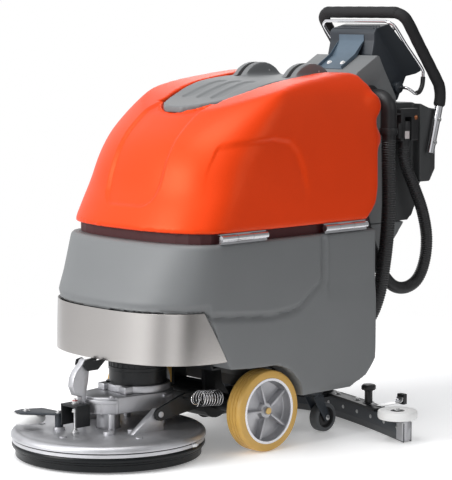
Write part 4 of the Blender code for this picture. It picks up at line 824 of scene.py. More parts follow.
# ---- the hoses ----------------------------------------------------------------------------------
SUCTION_ROUTE = [
    (0.176, 0.5, 0.745), (0.176, 0.5, 0.7), (0.176, 0.502, 0.64), (0.176, 0.503, 0.56),
    (0.175, 0.498, 0.475), (0.172, 0.489, 0.4), (0.164, 0.48, 0.33), (0.142, 0.471, 0.27),
    (0.104, 0.462, 0.231), (0.06, 0.455, 0.202), (0.022, 0.45, 0.176), (0.001, 0.448, 0.147),
    (0.0, 0.448, 0.123), (0.0, 0.448, 0.101),
]
DRAIN_ROUTE = [
    (0.134, 0.604, 0.722), (0.134, 0.604, 0.702), (0.1345, 0.606, 0.68), (0.139, 0.616, 0.645),
    (0.146, 0.636, 0.598), (0.15, 0.664, 0.535), (0.15, 0.682, 0.465), (0.148, 0.677, 0.4),
    (0.145, 0.652, 0.353), (0.14, 0.612, 0.334), (0.136, 0.566, 0.343), (0.134, 0.524, 0.383),
    (0.133, 0.49, 0.44), (0.132, 0.462, 0.505), (0.132, 0.443, 0.565), (0.132, 0.432, 0.612),
    (0.132, 0.418, 0.641), (0.132, 0.4, 0.65), (0.132, 0.39, 0.65), (0.132, 0.3806, 0.65),
]


HOSES = (("suction_hose", SUCTION_ROUTE, 0.019), ("drain_hose", DRAIN_ROUTE, 0.0165))


def ribbed_hose(route, radius, cuff):
    """A corrugated hose with plain cuffs at its two ends; it returns the hose, its path and its length."""
    path = smooth_path([at(*point) for point in route], 8)
    length = path_length(path)
    pitch, rise = sizes().rib_pitch, sizes().rib_height
    rows = int(length / pitch * 6)

    def shape(distance):
        if distance < cuff or distance > length - cuff:
            return radius - 0.0004
        swing = 0.5 + 0.5 * math.cos(math.tau * distance / pitch)
        return radius - rise * (1 - swing ** 1.6)

    hose = outwards(tube(path, radius, 20, rows, smooth=0, shape=shape))
    return hose, path, length


class SCRUBBER_OT_hoses(bpy.types.Operator):
    """Model the ribbed suction hose and the ribbed drain hose at their real lengths"""
    bl_idname = "scrubber.hoses"
    bl_label = "Hoses"

    def execute(self, context):
        for name, route, radius in HOSES:
            hose, path, length = ribbed_hose(route, radius, 0.012)
            done(hose, name + "_ribbed", "chassis" if name == "drain_hose" else None, "black", name,
                 smooth=50, slot="black_plastic")
            if name == "suction_hose":
                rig.blend(hose, "chassis", "squeegee_arm", at(0.1, 0.46, 0.4), at(0.0, 0.448, 0.125))
            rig.cord(hose, exit=path[0], length=length, diameter=radius * 2, far_end="object",
                    stiffness="medium", lay="hanging", path=path)
        self.fittings()
        return {"FINISHED"}

    def fittings(self):
        """The smooth elbow on the column, the drain hose's cuff with its blank label, and its clip box."""
        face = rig.box("column_port")[0].x
        (x, y, top), z = SUCTION_ROUTE[0], 0.842
        path = [at(face, y, z), at(0.125, y, z)]
        path += [at(x - 0.035 + dx, y, z - 0.035 + dz) for dx, dz in arc((0, 0), 0.035, 90, 0, 8)]
        path += [at(x, y, 0.79), at(x, y, top)]
        elbow = tube([tuple(p) for p in path], 0.021, 32, 48, smooth=3)
        collar = turned([(0.0195, 0.748), (0.0235, 0.748), (0.024, 0.75), (0.024, 0.762), (0.0232, 0.764),
                         (0.0195, 0.764)], at(x, y, 0), steps=48)
        flange = turned([(0.014, 0.0003), (0.03, 0.0003), (0.03, 0.0045), (0.029, 0.0055), (0.014, 0.0055)],
                        at(face, y, z), "X", 48)
        done(joined([elbow, collar, flange]), "suction_elbow", "chassis", "black", "column_port",
             smooth=40, slot="black_plastic")
        low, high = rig.box("hose_holder")
        case = box((low.x, low.y + 0.014, low.z + 0.012), high, 0.004, 3)
        top_plate = box((low.x, low.y, high.z - 0.016), (high.x - 0.002, high.y, high.z - 0.011), 0.002)
        mouth_y = at(*DRAIN_ROUTE[0]).y
        mouth_low = (low.x + 0.018, mouth_y - 0.0125, low.z - 0.01)
        mouth_high = (high.x + 0.01, mouth_y + 0.0125, high.z - 0.022)
        carve(case, box(mouth_low, mouth_high))
        bevel(case, 0.0012, 2)
        lug = box((high.x - 0.003, low.y + 0.004, low.z + 0.02), (high.x, low.y + 0.022, low.z + 0.06),
                  0.0015)
        done(joined([case, top_plate, lug]), "hose_clip", "chassis", "black", "hose_holder", smooth=30,
             slot="black_plastic")
        cap_low, cap_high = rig.box("drain_cap")
        middle = (cap_low + cap_high) / 2
        cuff = turned([(0, 0), (0.0185, 0), (0.0185, 0.004), (0.0175, 0.005), (0.0175, 0.03),
                       (0.0185, 0.031), (0.0185, 0.047), (0.0165, 0.0535), (0, 0.0535)],
                      (middle.x, middle.y, cap_low.z), steps=40)
        done(cuff, "drain_cuff", "chassis", "black", "drain_cap", smooth=30, slot="black_plastic")

        def place(u, v):
            turn = math.radians(-62 + 74 * u)
            return Vector((middle.x + 0.0178 * math.cos(turn), middle.y + 0.0178 * math.sin(turn),
                           cap_low.z + 0.008 + 0.02 * v))

        label = skin(12, 2, place, caps=False)
        apply(label, "SOLIDIFY", thickness=0.0003, offset=1)
        done(label, "blank_label", "chassis", "label", smooth=40, slot="white_plastic")
        screw = screw_head((high.x, high.y - 0.012, high.z - 0.024), (1, 0, 0), 0.0045, 0.003)
        done(screw, "clip_screw", "chassis", "copper", smooth=35, slot="spring_steel")


# ---- the two tanks and the lid ------------------------------------------------------------------
def ring(half, nose, rear, shoulder, power, corner=0.016):
    """A tank's outline from above, in axle positions: square at the rear and rounded to its nose."""
    side = [(half - corner + corner * math.cos(t), rear - corner + corner * math.sin(t))
            for t in [math.radians(90 - 10 * i) for i in range(10)]]
    for i in range(1, 49):
        t = math.radians(90 * i / 48)
        x = half * max(0.0, math.cos(t)) ** (2 / power)
        side.append((x, shoulder - (shoulder - nose) * math.sin(t) ** (2 / power)))
    return side + [(-x, y) for x, y in side[-2::-1]]


def shell_of(levels, rear, shoulder):
    """A closed shell through levels of (height, half width, nose, power), with soft changes between."""
    heights = smooth_path([(level[0], level[1], level[2]) for level in levels], 6)
    powers = smooth_path([(level[3], 0, 0) for level in levels], 6)
    rings = []
    for (z, half, nose), power in zip(heights, powers):
        rings.append([Vector((x, y + AXLE_Y, z)) for x, y in
                      ring(half, nose, rear, shoulder(z), power[0])])
    count = len(rings[0])
    last = len(rings) - 1
    return skin(count, last, lambda u, v: rings[round(v * last)][round(u * count) % count])


WIDE = 0.4  # half a width that reaches past both sides of the machine
COLUMN_HALF = 0.111
HOLLOW_HALF = 0.107


def side_plate(outline, low, high, edge=0.0, segments=2, angle=30):
    """An axle-position outline of (y, z) points, extruded across the machine from one x to another."""
    return plate([(y + AXLE_Y, z) for y, z in outline], low, high, "X", edge, segments, angle)


def level_plate(outline, low, high, edge=0.0, segments=2):
    """An axle-position outline of (x, y) points, extruded upwards."""
    return plate([(x, y + AXLE_Y) for x, y in outline], low, high, "Z", edge, segments)


def slab(outline, half):
    """A side plate that reaches as far to the right as to the left."""
    return side_plate(outline, -half, half)


def block(low, high, edge=0.0, segments=2):
    return box(at(*low), at(*high), edge, segments)


def bar(start, end, radius, sides=32, edge=0.0):
    return rod(at(*start), at(*end), radius, sides, edge)


def post(x, y, low, high, radius, sides=32, edge=0.0):
    """An upright round bar."""
    return bar((x, y, low), (x, y, high), radius, sides, edge)


def remeshed(piece, size, rounds=4, keep=None):
    """Remakes the piece at one cell size and softens its edges, less where keep(point) is small."""
    apply(piece, "REMESH", mode="VOXEL", voxel_size=size)
    settings = {"factor": 0.5, "iterations": rounds}
    if keep:
        group = piece.vertex_groups.new(name="soft")
        for vert in piece.data.vertices:
            group.add([vert.index], keep(vert.co), "REPLACE")
        settings["vertex_group"] = group.name
    apply(piece, "SMOOTH", **settings)
    piece.vertex_groups.clear()
    return piece


def pressed(piece, depth_at):
    """Moves each point in along its own normal by depth_at(point, normal)."""
    moves = [(vert.index, vert.normal * depth_at(vert.co, vert.normal)) for vert in piece.data.vertices]
    for index, move in moves:
        piece.data.vertices[index].co -= move
    return piece


def to_line(point, line):
    """Distance from a point to a line of points, in a plane."""
    best = 9.0
    for (ax, ay), (bx, by) in zip(line, line[1:]):
        dx, dy = bx - ax, by - ay
        share = ((point[0] - ax) * dx + (point[1] - ay) * dy) / max(1e-12, dx * dx + dy * dy)
        share = min(1.0, max(0.0, share))
        best = min(best, math.hypot(point[0] - ax - share * dx, point[1] - ay - share * dy))
    return best


def within(point, outline):
    """True if the point is inside the closed outline."""
    inside = False
    for (ax, ay), (bx, by) in zip(outline, outline[1:] + outline[:1]):
        if (ay > point[1]) != (by > point[1]):
            if point[0] < ax + (point[1] - ay) * (bx - ax) / (by - ay):
                inside = not inside
    return inside


RECOVERY_LOW = 0.545
RECOVERY_LEVELS = (
    (0.0, 0.256, -0.261, 2.5), (0.006, 0.262, -0.266, 2.5), (0.05, 0.262, -0.247, 2.5),
    (0.095, 0.262, -0.225, 2.5), (0.155, 0.261, -0.204, 2.5), (0.205, 0.259, -0.178, 2.4),
    (0.245, 0.255, -0.142, 2.3), (0.29, 0.247, -0.082, 2.2), (0.33, 0.232, -0.004, 2.2),
    (0.372, 0.2, 0.119, 2.2),
)
RECOVERY_TOP_LINE = (
    (0.48, 0.872), (0.376, 0.88), (0.352, 0.906), (0.3, 0.911), (0.212, 0.902), (0.111, 0.887),
    (0.023, 0.864), (-0.05, 0.839), (-0.12, 0.811), (-0.2, 0.766), (-0.7, 0.411),
)
LID_LINE = ((-0.09, 0.834), (0.002, 0.853), (0.062, 0.873), (0.124, 0.889), (0.22, 0.899), (0.353, 0.9))
SIDE_RECESS = [
    (-0.3, 0.56), (-0.26, 0.66), (-0.23, 0.69), (-0.176, 0.715), (-0.14, 0.744), (-0.089, 0.757),
    (0.01, 0.764), (0.065, 0.754), (0.092, 0.725), (0.112, 0.68), (0.119, 0.64), (0.119, 0.56),
]
HINGE_X = (-0.09, 0.09)
HINGE_PIN = (0.308, 0.912)
HUMP = (0.284, 0.854)
LID_PLAN = (
    (0.0, -0.09), (0.03, -0.088), (0.052, -0.073), (0.07, -0.056), (0.1, -0.011), (0.113, 0.019),
    (0.122, 0.06), (0.128, 0.109), (0.128, 0.353),
)


def lid_height(y, line=LID_LINE):
    """The lid's height at an axle position."""
    for (ay, az), (by, bz) in zip(line, line[1:]):
        if y <= by:
            return az + (bz - az) * max(0.0, (y - ay) / (by - ay))
    return line[-1][1]


def lid_outline(grow):
    """The lid's plan, grown all round."""
    side = [(x + grow * min(1.0, x / 0.06), y - grow * (1 - min(1.0, x / 0.11))) for x, y in LID_PLAN]
    side[-1] = (side[-1][0], side[-1][1] + grow)
    points = side + [(-x, y) for x, y in side[:0:-1]]
    return [(x, y + AXLE_Y) for x, y in points]


class SCRUBBER_OT_upper_tank(bpy.types.Operator):
    """Model the orange upper tank with its pressed panel, side recess, finger grips and lid channel"""
    bl_idname = "scrubber.upper_tank"
    bl_label = "Upper tank"

    def execute(self, context):
        levels = [(RECOVERY_LOW + rise, half, nose, power) for rise, half, nose, power in RECOVERY_LEVELS]
        tank = shell_of(levels, 0.38, lambda z: -0.13 + (z - RECOVERY_LOW) * 0.62)
        top = [tuple(point)[:2] for point in smooth_path([(y, z, 0) for y, z in RECOVERY_TOP_LINE], 4)]
        carve(tank, slab(top + [(-0.7, 1.2), (0.48, 1.2)], WIDE))
        rear = [(0.5, 0.4), (0.5, 0.625), (0.38, 0.625), (0.366, 0.58), (0.33, 0.543), (0.33, 0.4)]
        carve(tank, slab(rear, WIDE))
        for z in (0.744, 0.827):
            for side in (-1, 1):
                grip = bar((side * 0.16, 0.37, z), (side * 0.252, 0.365, z), 0.036, 32, 0.016)
                unite(tank, grip)
        remeshed(tank, 0.007, 9, lambda p: soft_step(p.z, RECOVERY_LOW + 0.012, RECOVERY_LOW + 0.05))
        self.channel(tank)
        remeshed(tank, 0.0048, 2, lambda p: soft_step(p.z, RECOVERY_LOW + 0.004, RECOVERY_LOW + 0.03))
        pressed(tank, self.depth)
        done(tank, "upper_tank_shell", "recovery_tank", "orange", "recovery_tank", smooth=60,
             slot="orange_plastic")
        return {"FINISHED"}

    def channel(self, tank):
        """Cuts the lid's channel, the well by its hinge, the mouth and the hollow, and adds the lugs."""
        gap = 0.0045
        floor = [(y, lid_height(y) - 0.0185) for y in (-0.096, 0.002, 0.062, 0.124, 0.22, 0.275)]
        line = [(-0.106, floor[0][1])] + floor + [(0.275, 0.848), (0.353 + gap, 0.848), (0.353 + gap, 1.1)]
        trench = slab(line + [(-0.106, 1.1)], 0.3)
        carve(trench, plate(lid_outline(gap), 0.7, 1.2, "Z"), operation="INTERSECT")
        carve(tank, trench)
        carve(tank, block((-0.205, -0.085, 0.553), (0.205, 0.35, 0.742), 0.02, 3))
        carve(tank, block((-0.105, -0.043, 0.7), (0.105, 0.193, 1.1)))
        for x in HINGE_X:
            y, z = HINGE_PIN
            lug = [(y - 0.026, 0.84), (y + 0.026, 0.84), (y + 0.009, z + 0.007), (y - 0.009, z + 0.007)]
            unite(tank, side_plate(lug, x - 0.0058, x + 0.0058))

    def depth(self, point, normal):
        """How far the skin is pressed in at a point: the front panel and the recess on each side."""
        size = sizes()
        y = point.y - AXLE_Y
        deep = 0.0
        if normal.y < -0.25 or (normal.z > 0.5 and y < -0.09 and abs(point.x) < 0.13):
            half = size.panel_half - 0.16 * max(0.0, 0.66 - point.z)
            corner = 0.034
            dx = max(0.0, abs(point.x) - half + corner)
            dz = max(0.0, size.panel_low + corner - point.z)
            edge = corner - math.hypot(dx, dz)
            deep += size.panel_depth * soft_step(edge, -0.004, 0.004) * soft_step(normal.z, 1.2, 0.9)
        if abs(normal.x) > 0.55 and y < 0.2:
            spot = (y, point.z)
            edge = to_line(spot, SIDE_RECESS) * (1 if within(spot, SIDE_RECESS) else -1)
            fade = soft_step(point.z, 0.59, 0.7) * soft_step(y, -0.2, -0.06)
            deep += 0.0075 * soft_step(edge, -0.006, 0.01) * fade
        return deep


class SCRUBBER_OT_lid(bpy.types.Operator):
    """Model the grey lid with its pressed strips and its two slotted hinge humps"""
    bl_idname = "scrubber.lid"
    bl_label = "Lid"

    def execute(self, context):
        line = [tuple(p)[:2] for p in smooth_path([(y, z, 0) for y, z in LID_LINE], 4)]
        under = [(y, z - 0.016) for y, z in line[::-1]]
        lid = slab(line + under, 0.2)
        carve(lid, plate(lid_outline(0.0), 0.6, 1.2, "Z"), operation="INTERSECT")
        for x in HINGE_X:
            hump = arc(HUMP, 0.079, 22, 158, 40)
            unite(lid, side_plate(hump, x - 0.023, x + 0.023))
        remeshed(lid, 0.0034, 3)
        for x in HINGE_X:
            slot = arc(HUMP, 0.09, 10, 170, 40)
            carve(lid, side_plate(slot, x - 0.007, x + 0.007))
            carve(lid, bar((x - 0.03, *HINGE_PIN), (x + 0.03, *HINGE_PIN), 0.0036, 20))
        pressed(lid, self.depth)
        done(lid, "lid_shell", "lid", "grey", "lid", smooth=40, slot="grey_plastic")
        for x in HINGE_X:
            pin = bar((x - 0.0225, *HINGE_PIN), (x + 0.0225, *HINGE_PIN), 0.003, 20, 0.0006)
            done(pin, "hinge_pin_left" if x > 0 else "hinge_pin_right", "recovery_tank", "zinc",
                 slot="chrome")
        return {"FINISHED"}

    def depth(self, point, normal):
        """Three shallow strips run back from the lid's front."""
        if normal.z < 0.7:
            return 0.0
        y = point.y - AXLE_Y
        deep = 0.0
        for x in (-0.052, 0.0, 0.052):
            dy = max(0.0, 0.015 - y, y - 0.118)
            edge = 0.017 - math.hypot(point.x - x, dy)
            deep = max(deep, 0.003 * soft_step(edge, -0.0025, 0.0025))
        return deep


ARCH_FRONT = -0.136
GROOVE_LINE = [
    (0.178, 0.505), (0.179, 0.408), (0.17, 0.396), (0.144, 0.379), (0.099, 0.347), (0.06, 0.338),
    (-0.003, 0.334), (-0.14, 0.345), (-0.269, 0.357), (-0.33, 0.362),
]


class SCRUBBER_OT_lower_tank(bpy.types.Operator):
    """Model the grey lower tank with its wheel arches, battery pocket and grooved sides"""
    bl_idname = "scrubber.lower_tank"
    bl_label = "Lower tank"

    def execute(self, context):
        levels = ((0.123, 0.252, -0.341, 2.5), (0.135, 0.259, -0.341, 2.5), (0.16, 0.262, -0.341, 2.5),
                  (0.25, 0.262, -0.341, 2.5), (0.362, 0.262, -0.341, 2.5), (0.43, 0.262, -0.312, 2.5),
                  (0.505, 0.262, -0.28, 2.5), (0.515, 0.26, -0.275, 2.5), (0.52, 0.256, -0.27, 2.5))
        tank = shell_of(levels, 0.375, lambda z: -0.15)
        wheel, reach = 0.1, 0.112
        start = math.degrees(math.asin((0.123 - wheel) / reach))
        arch = arc((0, wheel), reach, start, 92, 24)[::-1]
        low = [(-0.7, 0.362), (-0.215, 0.362), (ARCH_FRONT, 0.22), (-0.1, 0.216)] + arch
        carve(tank, slab(low + [(arch[-1][0], 0.05), (-0.7, 0.05)], WIDE))
        corner = [(0.395, 0.05), (0.395, 0.235), (0.375, 0.225), (0.366, 0.188), (0.333, 0.15),
                  (0.29, 0.13), (0.24, 0.05)]
        carve(tank, slab(corner, WIDE))
        carve(tank, block((-0.095, -0.7, 0.1), (0.095, -0.128, 0.362)))
        shelf = [(0.355, 0.509), (0.635, 0.509), (0.633, 0.5), (0.588, 0.452), (0.56, 0.425), (0.48, 0.34),
                 (0.355, 0.3)]
        unite(tank, slab(shelf, COLUMN_HALF))
        carve(tank, block((-0.232, -0.11, 0.236), (0.232, 0.345, 0.6), 0.012))
        well = [(x, y + AXLE_Y) for x, y in ring(0.232, -0.227, 0.0, -0.15, 2.5)]
        carve(tank, plate(well, 0.412, 0.6, "Z"))
        remeshed(tank, 0.005, 2, lambda p: soft_step(p.z, 0.512, 0.5) * (0.5 if p.z < 0.37 else 1.0))
        pressed(tank, self.depth)
        done(tank, "lower_tank_shell", "chassis", "grey", "solution_tank", smooth=45, slot="grey_plastic")
        return {"FINISHED"}

    def depth(self, point, normal):
        """The groove along each side, and the soft step under the leaning front band."""
        deep = 0.0
        y = point.y - AXLE_Y
        if abs(point.x) > 0.19 and abs(normal.x) > 0.4 and y > -0.34:
            away = to_line((y, point.z), GROOVE_LINE)
            deep += sizes().groove * max(0.0, 1 - away / 0.013)
        if abs(point.x) > 0.2 and y > 0.185 and point.z > 0.3:
            deep += 0.003 * soft_step(y, 0.185, 0.2) * soft_step(point.z, 0.34, 0.4)
        if normal.y < -0.2 and y < -0.18:
            deep += 0.004 * soft_step(point.z, 0.384, 0.372)
        return deep


class SCRUBBER_OT_apron(bpy.types.Operator):
    """Model the stainless apron as one bent sheet"""
    bl_idname = "scrubber.apron"
    bl_label = "Steel apron"

    def execute(self, context):
        def wall(inset, low, high):
            """The nose's outline, leaning out towards its foot, set in by the inset."""
            heights = [low + (high - low) * i / 4 for i in range(5)]
            rows = [(z, 0.261 - inset, -0.341 - 0.006 * (0.362 - z) / 0.122 + inset, 2.5) for z in heights]
            return shell_of(rows, 0.0, lambda z: -0.15)

        sheet = wall(0.0, 0.24, 0.3617)
        carve(sheet, wall(0.002, 0.23, 0.372))
        slant = [(-0.2156, 0.382), (-0.2156, 0.362), (-0.1491, 0.24), (-0.14, 0.22), (0.2, 0.22),
                 (0.2, 0.382)]
        carve(sheet, slab(slant, WIDE))
        bevel(sheet, 0.0005, 1, 50)
        done(sheet, "steel_apron", "chassis", "steel", "front_skirt", smooth=40, slot="stainless")
        return {"FINISHED"}


# ---- the wheels, the scrubbing deck and its drive -----------------------------------------------
DECK_Y = -0.299  # the brush's middle, ahead of the axle
MOTOR_Y = -0.205
GUARD_FOOT = (-0.053, -0.409)


class SCRUBBER_OT_wheels(bpy.types.Operator):
    """Model the drive wheels: ribbed cast hubs with bright rims, and grooved amber tyres"""
    bl_idname = "scrubber.wheels"
    bl_label = "Drive wheels"

    def execute(self, context):
        inner, outer, centre = 0.201, 0.251, at(0, 0, 0.1)
        tread = [(0.0803, inner + 0.001), (0.094, inner), (0.0978, inner + 0.0018), (0.1, inner + 0.006)]
        for middle in (inner + 0.015, inner + 0.025, inner + 0.035):
            tread += [(0.1, middle - 0.0016), (0.0984, middle - 0.0008), (0.0984, middle + 0.0008),
                      (0.1, middle + 0.0016)]
        tread += [(0.1, outer - 0.006), (0.0978, outer - 0.0018), (0.094, outer), (0.0803, outer - 0.001)]
        web = inner + 0.026
        hub = [(0, inner - 0.0055), (0.012, inner - 0.0055), (0.012, inner + 0.018),
               (0.072, inner + 0.018), (0.074, inner + 0.002), (0.08, inner + 0.002),
               (0.08, outer - 0.0025), (0.0792, outer - 0.0015), (0.0745, outer - 0.0015),
               (0.0738, outer - 0.0022), (0.071, web + 0.003), (0.069, web + 0.0005), (0.03, web - 0.001),
               (0.022, web + 0.003), (0.019, outer - 0.012), (0.018, outer - 0.01), (0.01, outer - 0.01),
               (0.0095, outer - 0.0045), (0, outer - 0.004)]
        for side, name in SIDES:
            tyre = turned(tread, centre, "X", 112)
            metal = turned(hub, centre, "X", 112)
            ribs = []
            for i in range(5):
                rib = box((web - 0.003, -0.0032, 0.017), (outer - 0.007, 0.0032, 0.0745), 0.0016, 2)
                turn = Matrix.Translation(centre) @ Matrix.Rotation(math.tau * i / 5 + 0.3, 4, "X")
                rib.data.transform(turn)
                ribs.append(rib)
            unite(metal, *ribs)
            end = turned([(0, outer - 0.004), (0.0086, outer - 0.004), (0.0086, outer - 0.0022),
                          (0.0078, outer - 0.0012), (0, outer - 0.0008)], centre, "X", 40)
            flange = turned([(0.0742, outer - 0.0022), (0.0802, outer - 0.0022), (0.0808, outer - 0.0004),
                             (0.0804, outer), (0.0746, outer), (0.074, outer - 0.0006)],
                            centre, "X", 112)
            pieces = (
                (tyre, "tyre", "amber", "amber_rubber", ("tyre_" + name,)),
                (metal, "hub", "hub", "cast_aluminium", ("wheel_hub_" + name,)),
                (end, "axle_end", "brass", "cast_aluminium", ()),
                (flange, "rim_ring", "rim", "cast_aluminium", ()),
            )
            for piece, label, finish, slot, nodes in pieces:
                if side < 0:
                    other = mirrored(piece)
                    bpy.data.objects.remove(piece)
                    piece = other
                done(piece, f"{label}_{name}_turned", "wheel_" + name, finish, *nodes, smooth=34, slot=slot)
        return {"FINISHED"}


class SCRUBBER_OT_deck(bpy.types.Operator):
    """Model the scrubbing deck: the cast cover with its rolled rim, lugs and stepped rubber skirt"""
    bl_idname = "scrubber.deck"
    bl_label = "Scrubbing deck"

    def execute(self, context):
        centre = at(0, DECK_Y, 0)
        cover = [(0.03, 0.066), (0.12, 0.066), (0.124, 0.065), (0.15, 0.065), (0.154, 0.066),
                 (0.204, 0.066), (0.2085, 0.0652), (0.213, 0.064), (0.2185, 0.0645), (0.223, 0.0655),
                 (0.228, 0.0645), (0.2325, 0.0615), (0.235, 0.058), (0.236, 0.054), (0.236, 0.0505),
                 (0.2322, 0.0502), (0.232, 0.055), (0.224, 0.0605), (0.212, 0.062), (0.03, 0.062)]
        deck = turned(cover, centre, "Z", 144)
        lugs = []
        for side in (-1, 1):
            foot = [(-0.322, 0.064), (-0.22, 0.064), (-0.2265, 0.1)]
            foot += arc((-0.239, 0.106), 0.0125, 0, 125, 12)
            low, high = sorted((side * 0.098, side * 0.115))
            lugs.append(side_plate(foot, low, high, 0.0018, 2))
            lugs.append(bar((side * 0.11, -0.239, 0.106), (side * 0.1262, -0.239, 0.106), 0.0075, 24,
                            0.001))
            lugs.append(post(side * 0.086, -0.3, 0.0655, 0.073, 0.01, 6, 0.001))
        for x, y in (GUARD_FOOT, (0.071, -0.357)):
            lugs.append(post(x, y, 0.064, 0.074, 0.014, 32, 0.002))
        for x, y in ((-0.14, -0.395), (0.02, -0.455), (0.15, -0.33), (-0.16, -0.25)):
            lugs.append(post(x, y, 0.0655, 0.0682, 0.0095, 32, 0.0012))
        done(joined([deck, *lugs]), "deck_casting", "deck", "cast", "deck_cover", slot="cast_aluminium")
        skirt = [(0.2316, 0.0497), (0.2316, 0.0385), (0.2325, 0.0375), (0.234, 0.0345), (0.2342, 0.0315),
                 (0.233, 0.028), (0.23, 0.0262), (0.2285, 0.025), (0.2285, 0.0215), (0.2265, 0.02),
                 (0.225, 0.019), (0.225, 0.005), (0.2238, 0.004), (0.219, 0.004), (0.219, 0.0497)]
        rubber_ring = turned(skirt, centre, "Z", 144)
        done(rubber_ring, "deck_rubber_ring", "deck", "skirt_rubber", "deck_skirt", smooth=34,
             slot="black_rubber")
        band = turned([(0.2317, 0.0392), (0.2328, 0.0394), (0.2328, 0.047), (0.2317, 0.0472)], centre, "Z",
                      144)
        done(band, "clamp_band", "deck", "cast", smooth=34, slot="chrome")
        x, y = 0.2335 * math.cos(0.35), DECK_Y + 0.2335 * math.sin(0.35)
        clamp = block((x - 0.006, y - 0.008, 0.039), (x + 0.004, y + 0.008, 0.049), 0.0015, 2)
        bolt = bar((x + 0.001, y - 0.014, 0.044), (x + 0.001, y + 0.012, 0.044), 0.0024, 16)
        done(joined([clamp, bolt]), "clamp_screw", "deck", "zinc", slot="chrome")
        return {"FINISHED"}


class SCRUBBER_OT_brush_drive(bpy.types.Operator):
    """Model the brush motor, its gearbox, the front link, the adjuster, the spring and the guard roller"""
    bl_idname = "scrubber.brush_drive"
    bl_label = "Brush drive"

    def execute(self, context):
        self.gearbox()
        self.link()
        self.spring()
        self.roller()
        return {"FINISHED"}

    def gearbox(self):
        """The gear case with its bolts and studs, and the motor can with its fins and flange."""
        rear = arc((0, MOTOR_Y + AXLE_Y), 0.086, 10, 170, 40)
        front = arc((0, DECK_Y + AXLE_Y), 0.065, 190, 350, 40)
        case = plate(rear + front, 0.108, 0.1495, "Z", 0.003, 3)
        step = plate(arc((0, DECK_Y + AXLE_Y), 0.071, 200, 340, 40), 0.134, 0.144, "Z", 0.002, 2)
        rim = plate(arc((0, MOTOR_Y + AXLE_Y), 0.0885, 5, 175, 40), 0.136, 0.1435, "Z", 0.0018, 2)
        spout = post(0, DECK_Y, 0.06, 0.112, 0.0285, 48, 0.002)
        parts = [case, step, rim, spout]
        for x, y in ((-0.055, -0.335), (0.055, -0.335), (-0.065, -0.185), (0.065, -0.185)):
            parts.append(post(x, y, 0.0664, 0.11, 0.009, 24, 0.001))
            parts.append(screw_head(at(x, y, 0.1495), (0, 0, 1), 0.005, 0.0045))
        for turn in (200, 235, 270, 305, 340):
            x, y = 0.06 * math.cos(math.radians(turn)), DECK_Y + 0.06 * math.sin(math.radians(turn))
            parts.append(post(x, y, 0.1085, 0.1478, 0.0058, 20, 0.0012))
        done(joined(parts), "gear_case", "deck", "cast", "gearbox", slot="cast_aluminium")
        can = [(0, 0.1503), (0.076, 0.1503), (0.076, 0.159), (0.0745, 0.1605), (0.0705, 0.1605),
               (0.0705, 0.199), (0.072, 0.2), (0.072, 0.208), (0.0705, 0.209), (0.0705, 0.278),
               (0.072, 0.279), (0.072, 0.287), (0.069, 0.292), (0.064, 0.296), (0, 0.296)]
        motor = turned(can, at(0, MOTOR_Y, 0), "Z", 72)
        fins = [motor]
        for i in range(30):
            turn = math.tau * i / 30
            x, y = 0.0708 * math.cos(turn), MOTOR_Y + 0.0708 * math.sin(turn)
            fins.append(post(x, y, 0.2085, 0.2785, 0.0012, 8))
        done(joined(fins), "motor_can", "deck", "black_paint", "brush_motor", slot="black_paint")
        low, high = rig.box("brush_motor")
        middle, reach = (low + high) / 2, (high.x - low.x) / 2
        foot = rod((middle.x, middle.y, low.z), (middle.x, middle.y, low.z + 0.017), reach + 0.0035, 72,
                   0.0015)
        ears = []
        for x in (middle.x - 0.04, middle.x + 0.04):
            near, far = middle.y - reach - 0.008, middle.y
            ears.append(box((x - 0.012, near, low.z), (x + 0.012, far, low.z + 0.017), 0.002))
        done(joined([foot, *ears]), "motor_flange", "deck", "cast", slot="cast_aluminium")

    def link(self):
        """The cast front arm, the yoke and the threaded adjuster with its nuts."""
        x, y, top = 0.0, -0.402, 0.136
        outline = [(y + 0.014, top + 0.016), (y - 0.004, top + 0.021), (y - 0.014, 0.18),
                   (y - 0.0105, 0.2), (y - 0.002, 0.215), (-0.386, 0.232), (-0.3815, 0.2395),
                   (-0.376, 0.2425), (-0.369, 0.2405), (-0.366, 0.235), (-0.3645, 0.226), (-0.368, 0.19),
                   (-0.375, 0.16), (y + 0.0242, top), (y + 0.0242, top - 0.002), (y + 0.014, top - 0.002)]
        arm = side_plate(outline, -0.01, 0.01, 0.0028, 3, 20)
        bolt = bar((-0.0125, -0.3755, 0.2325), (0.0125, -0.3755, 0.2325), 0.0055, 6, 0.0008)
        done(joined([arm, bolt]), "front_link_arm", "deck", "cast", smooth=34, slot="cast_aluminium")
        yoke = [(-0.03, 0.084), (-0.025, 0.084), (-0.025, top - 0.005), (0.025, top - 0.005),
                (0.025, 0.084), (0.03, 0.084), (0.03, top), (-0.03, top)]
        channel = plate([(a, b) for a, b in yoke], at(0, y - 0.02, 0).y, at(0, y + 0.022, 0).y, "Y", 0.001,
                        2)
        carve(channel, post(x, y, 0.1, 0.16, 0.005, 20))
        rest = block((-0.022, y + 0.0215, 0.09), (0.022, y + 0.0245, top), 0.0008)
        done(joined([channel, rest]), "link_yoke", "deck", "black_paint", "front_link", slot="black_paint")
        parts = [tube([at(x, y, 0.0664), at(x, y, 0.149)], 0.004, 20, 150, smooth=0,
                      shape=lambda d: 0.0038 + 0.0003 * math.cos(math.tau * d / 0.00125))]
        for z in (0.0664, 0.117, 0.1363):
            parts.append(hex_nut(at(x, y, z), (0, 0, 1), 0.008, 0.0072))
            parts.append(post(x, y, z, z + 0.0012, 0.0092, 32))
        done(joined(parts), "adjuster_thread", "deck", "zinc", "adjuster_rod", smooth=34, slot="chrome")
        mark = post(x, y, 0.1436, 0.1452, 0.0062, 24)
        done(mark, "adjuster_mark", "deck", "red_mark", slot="chrome")

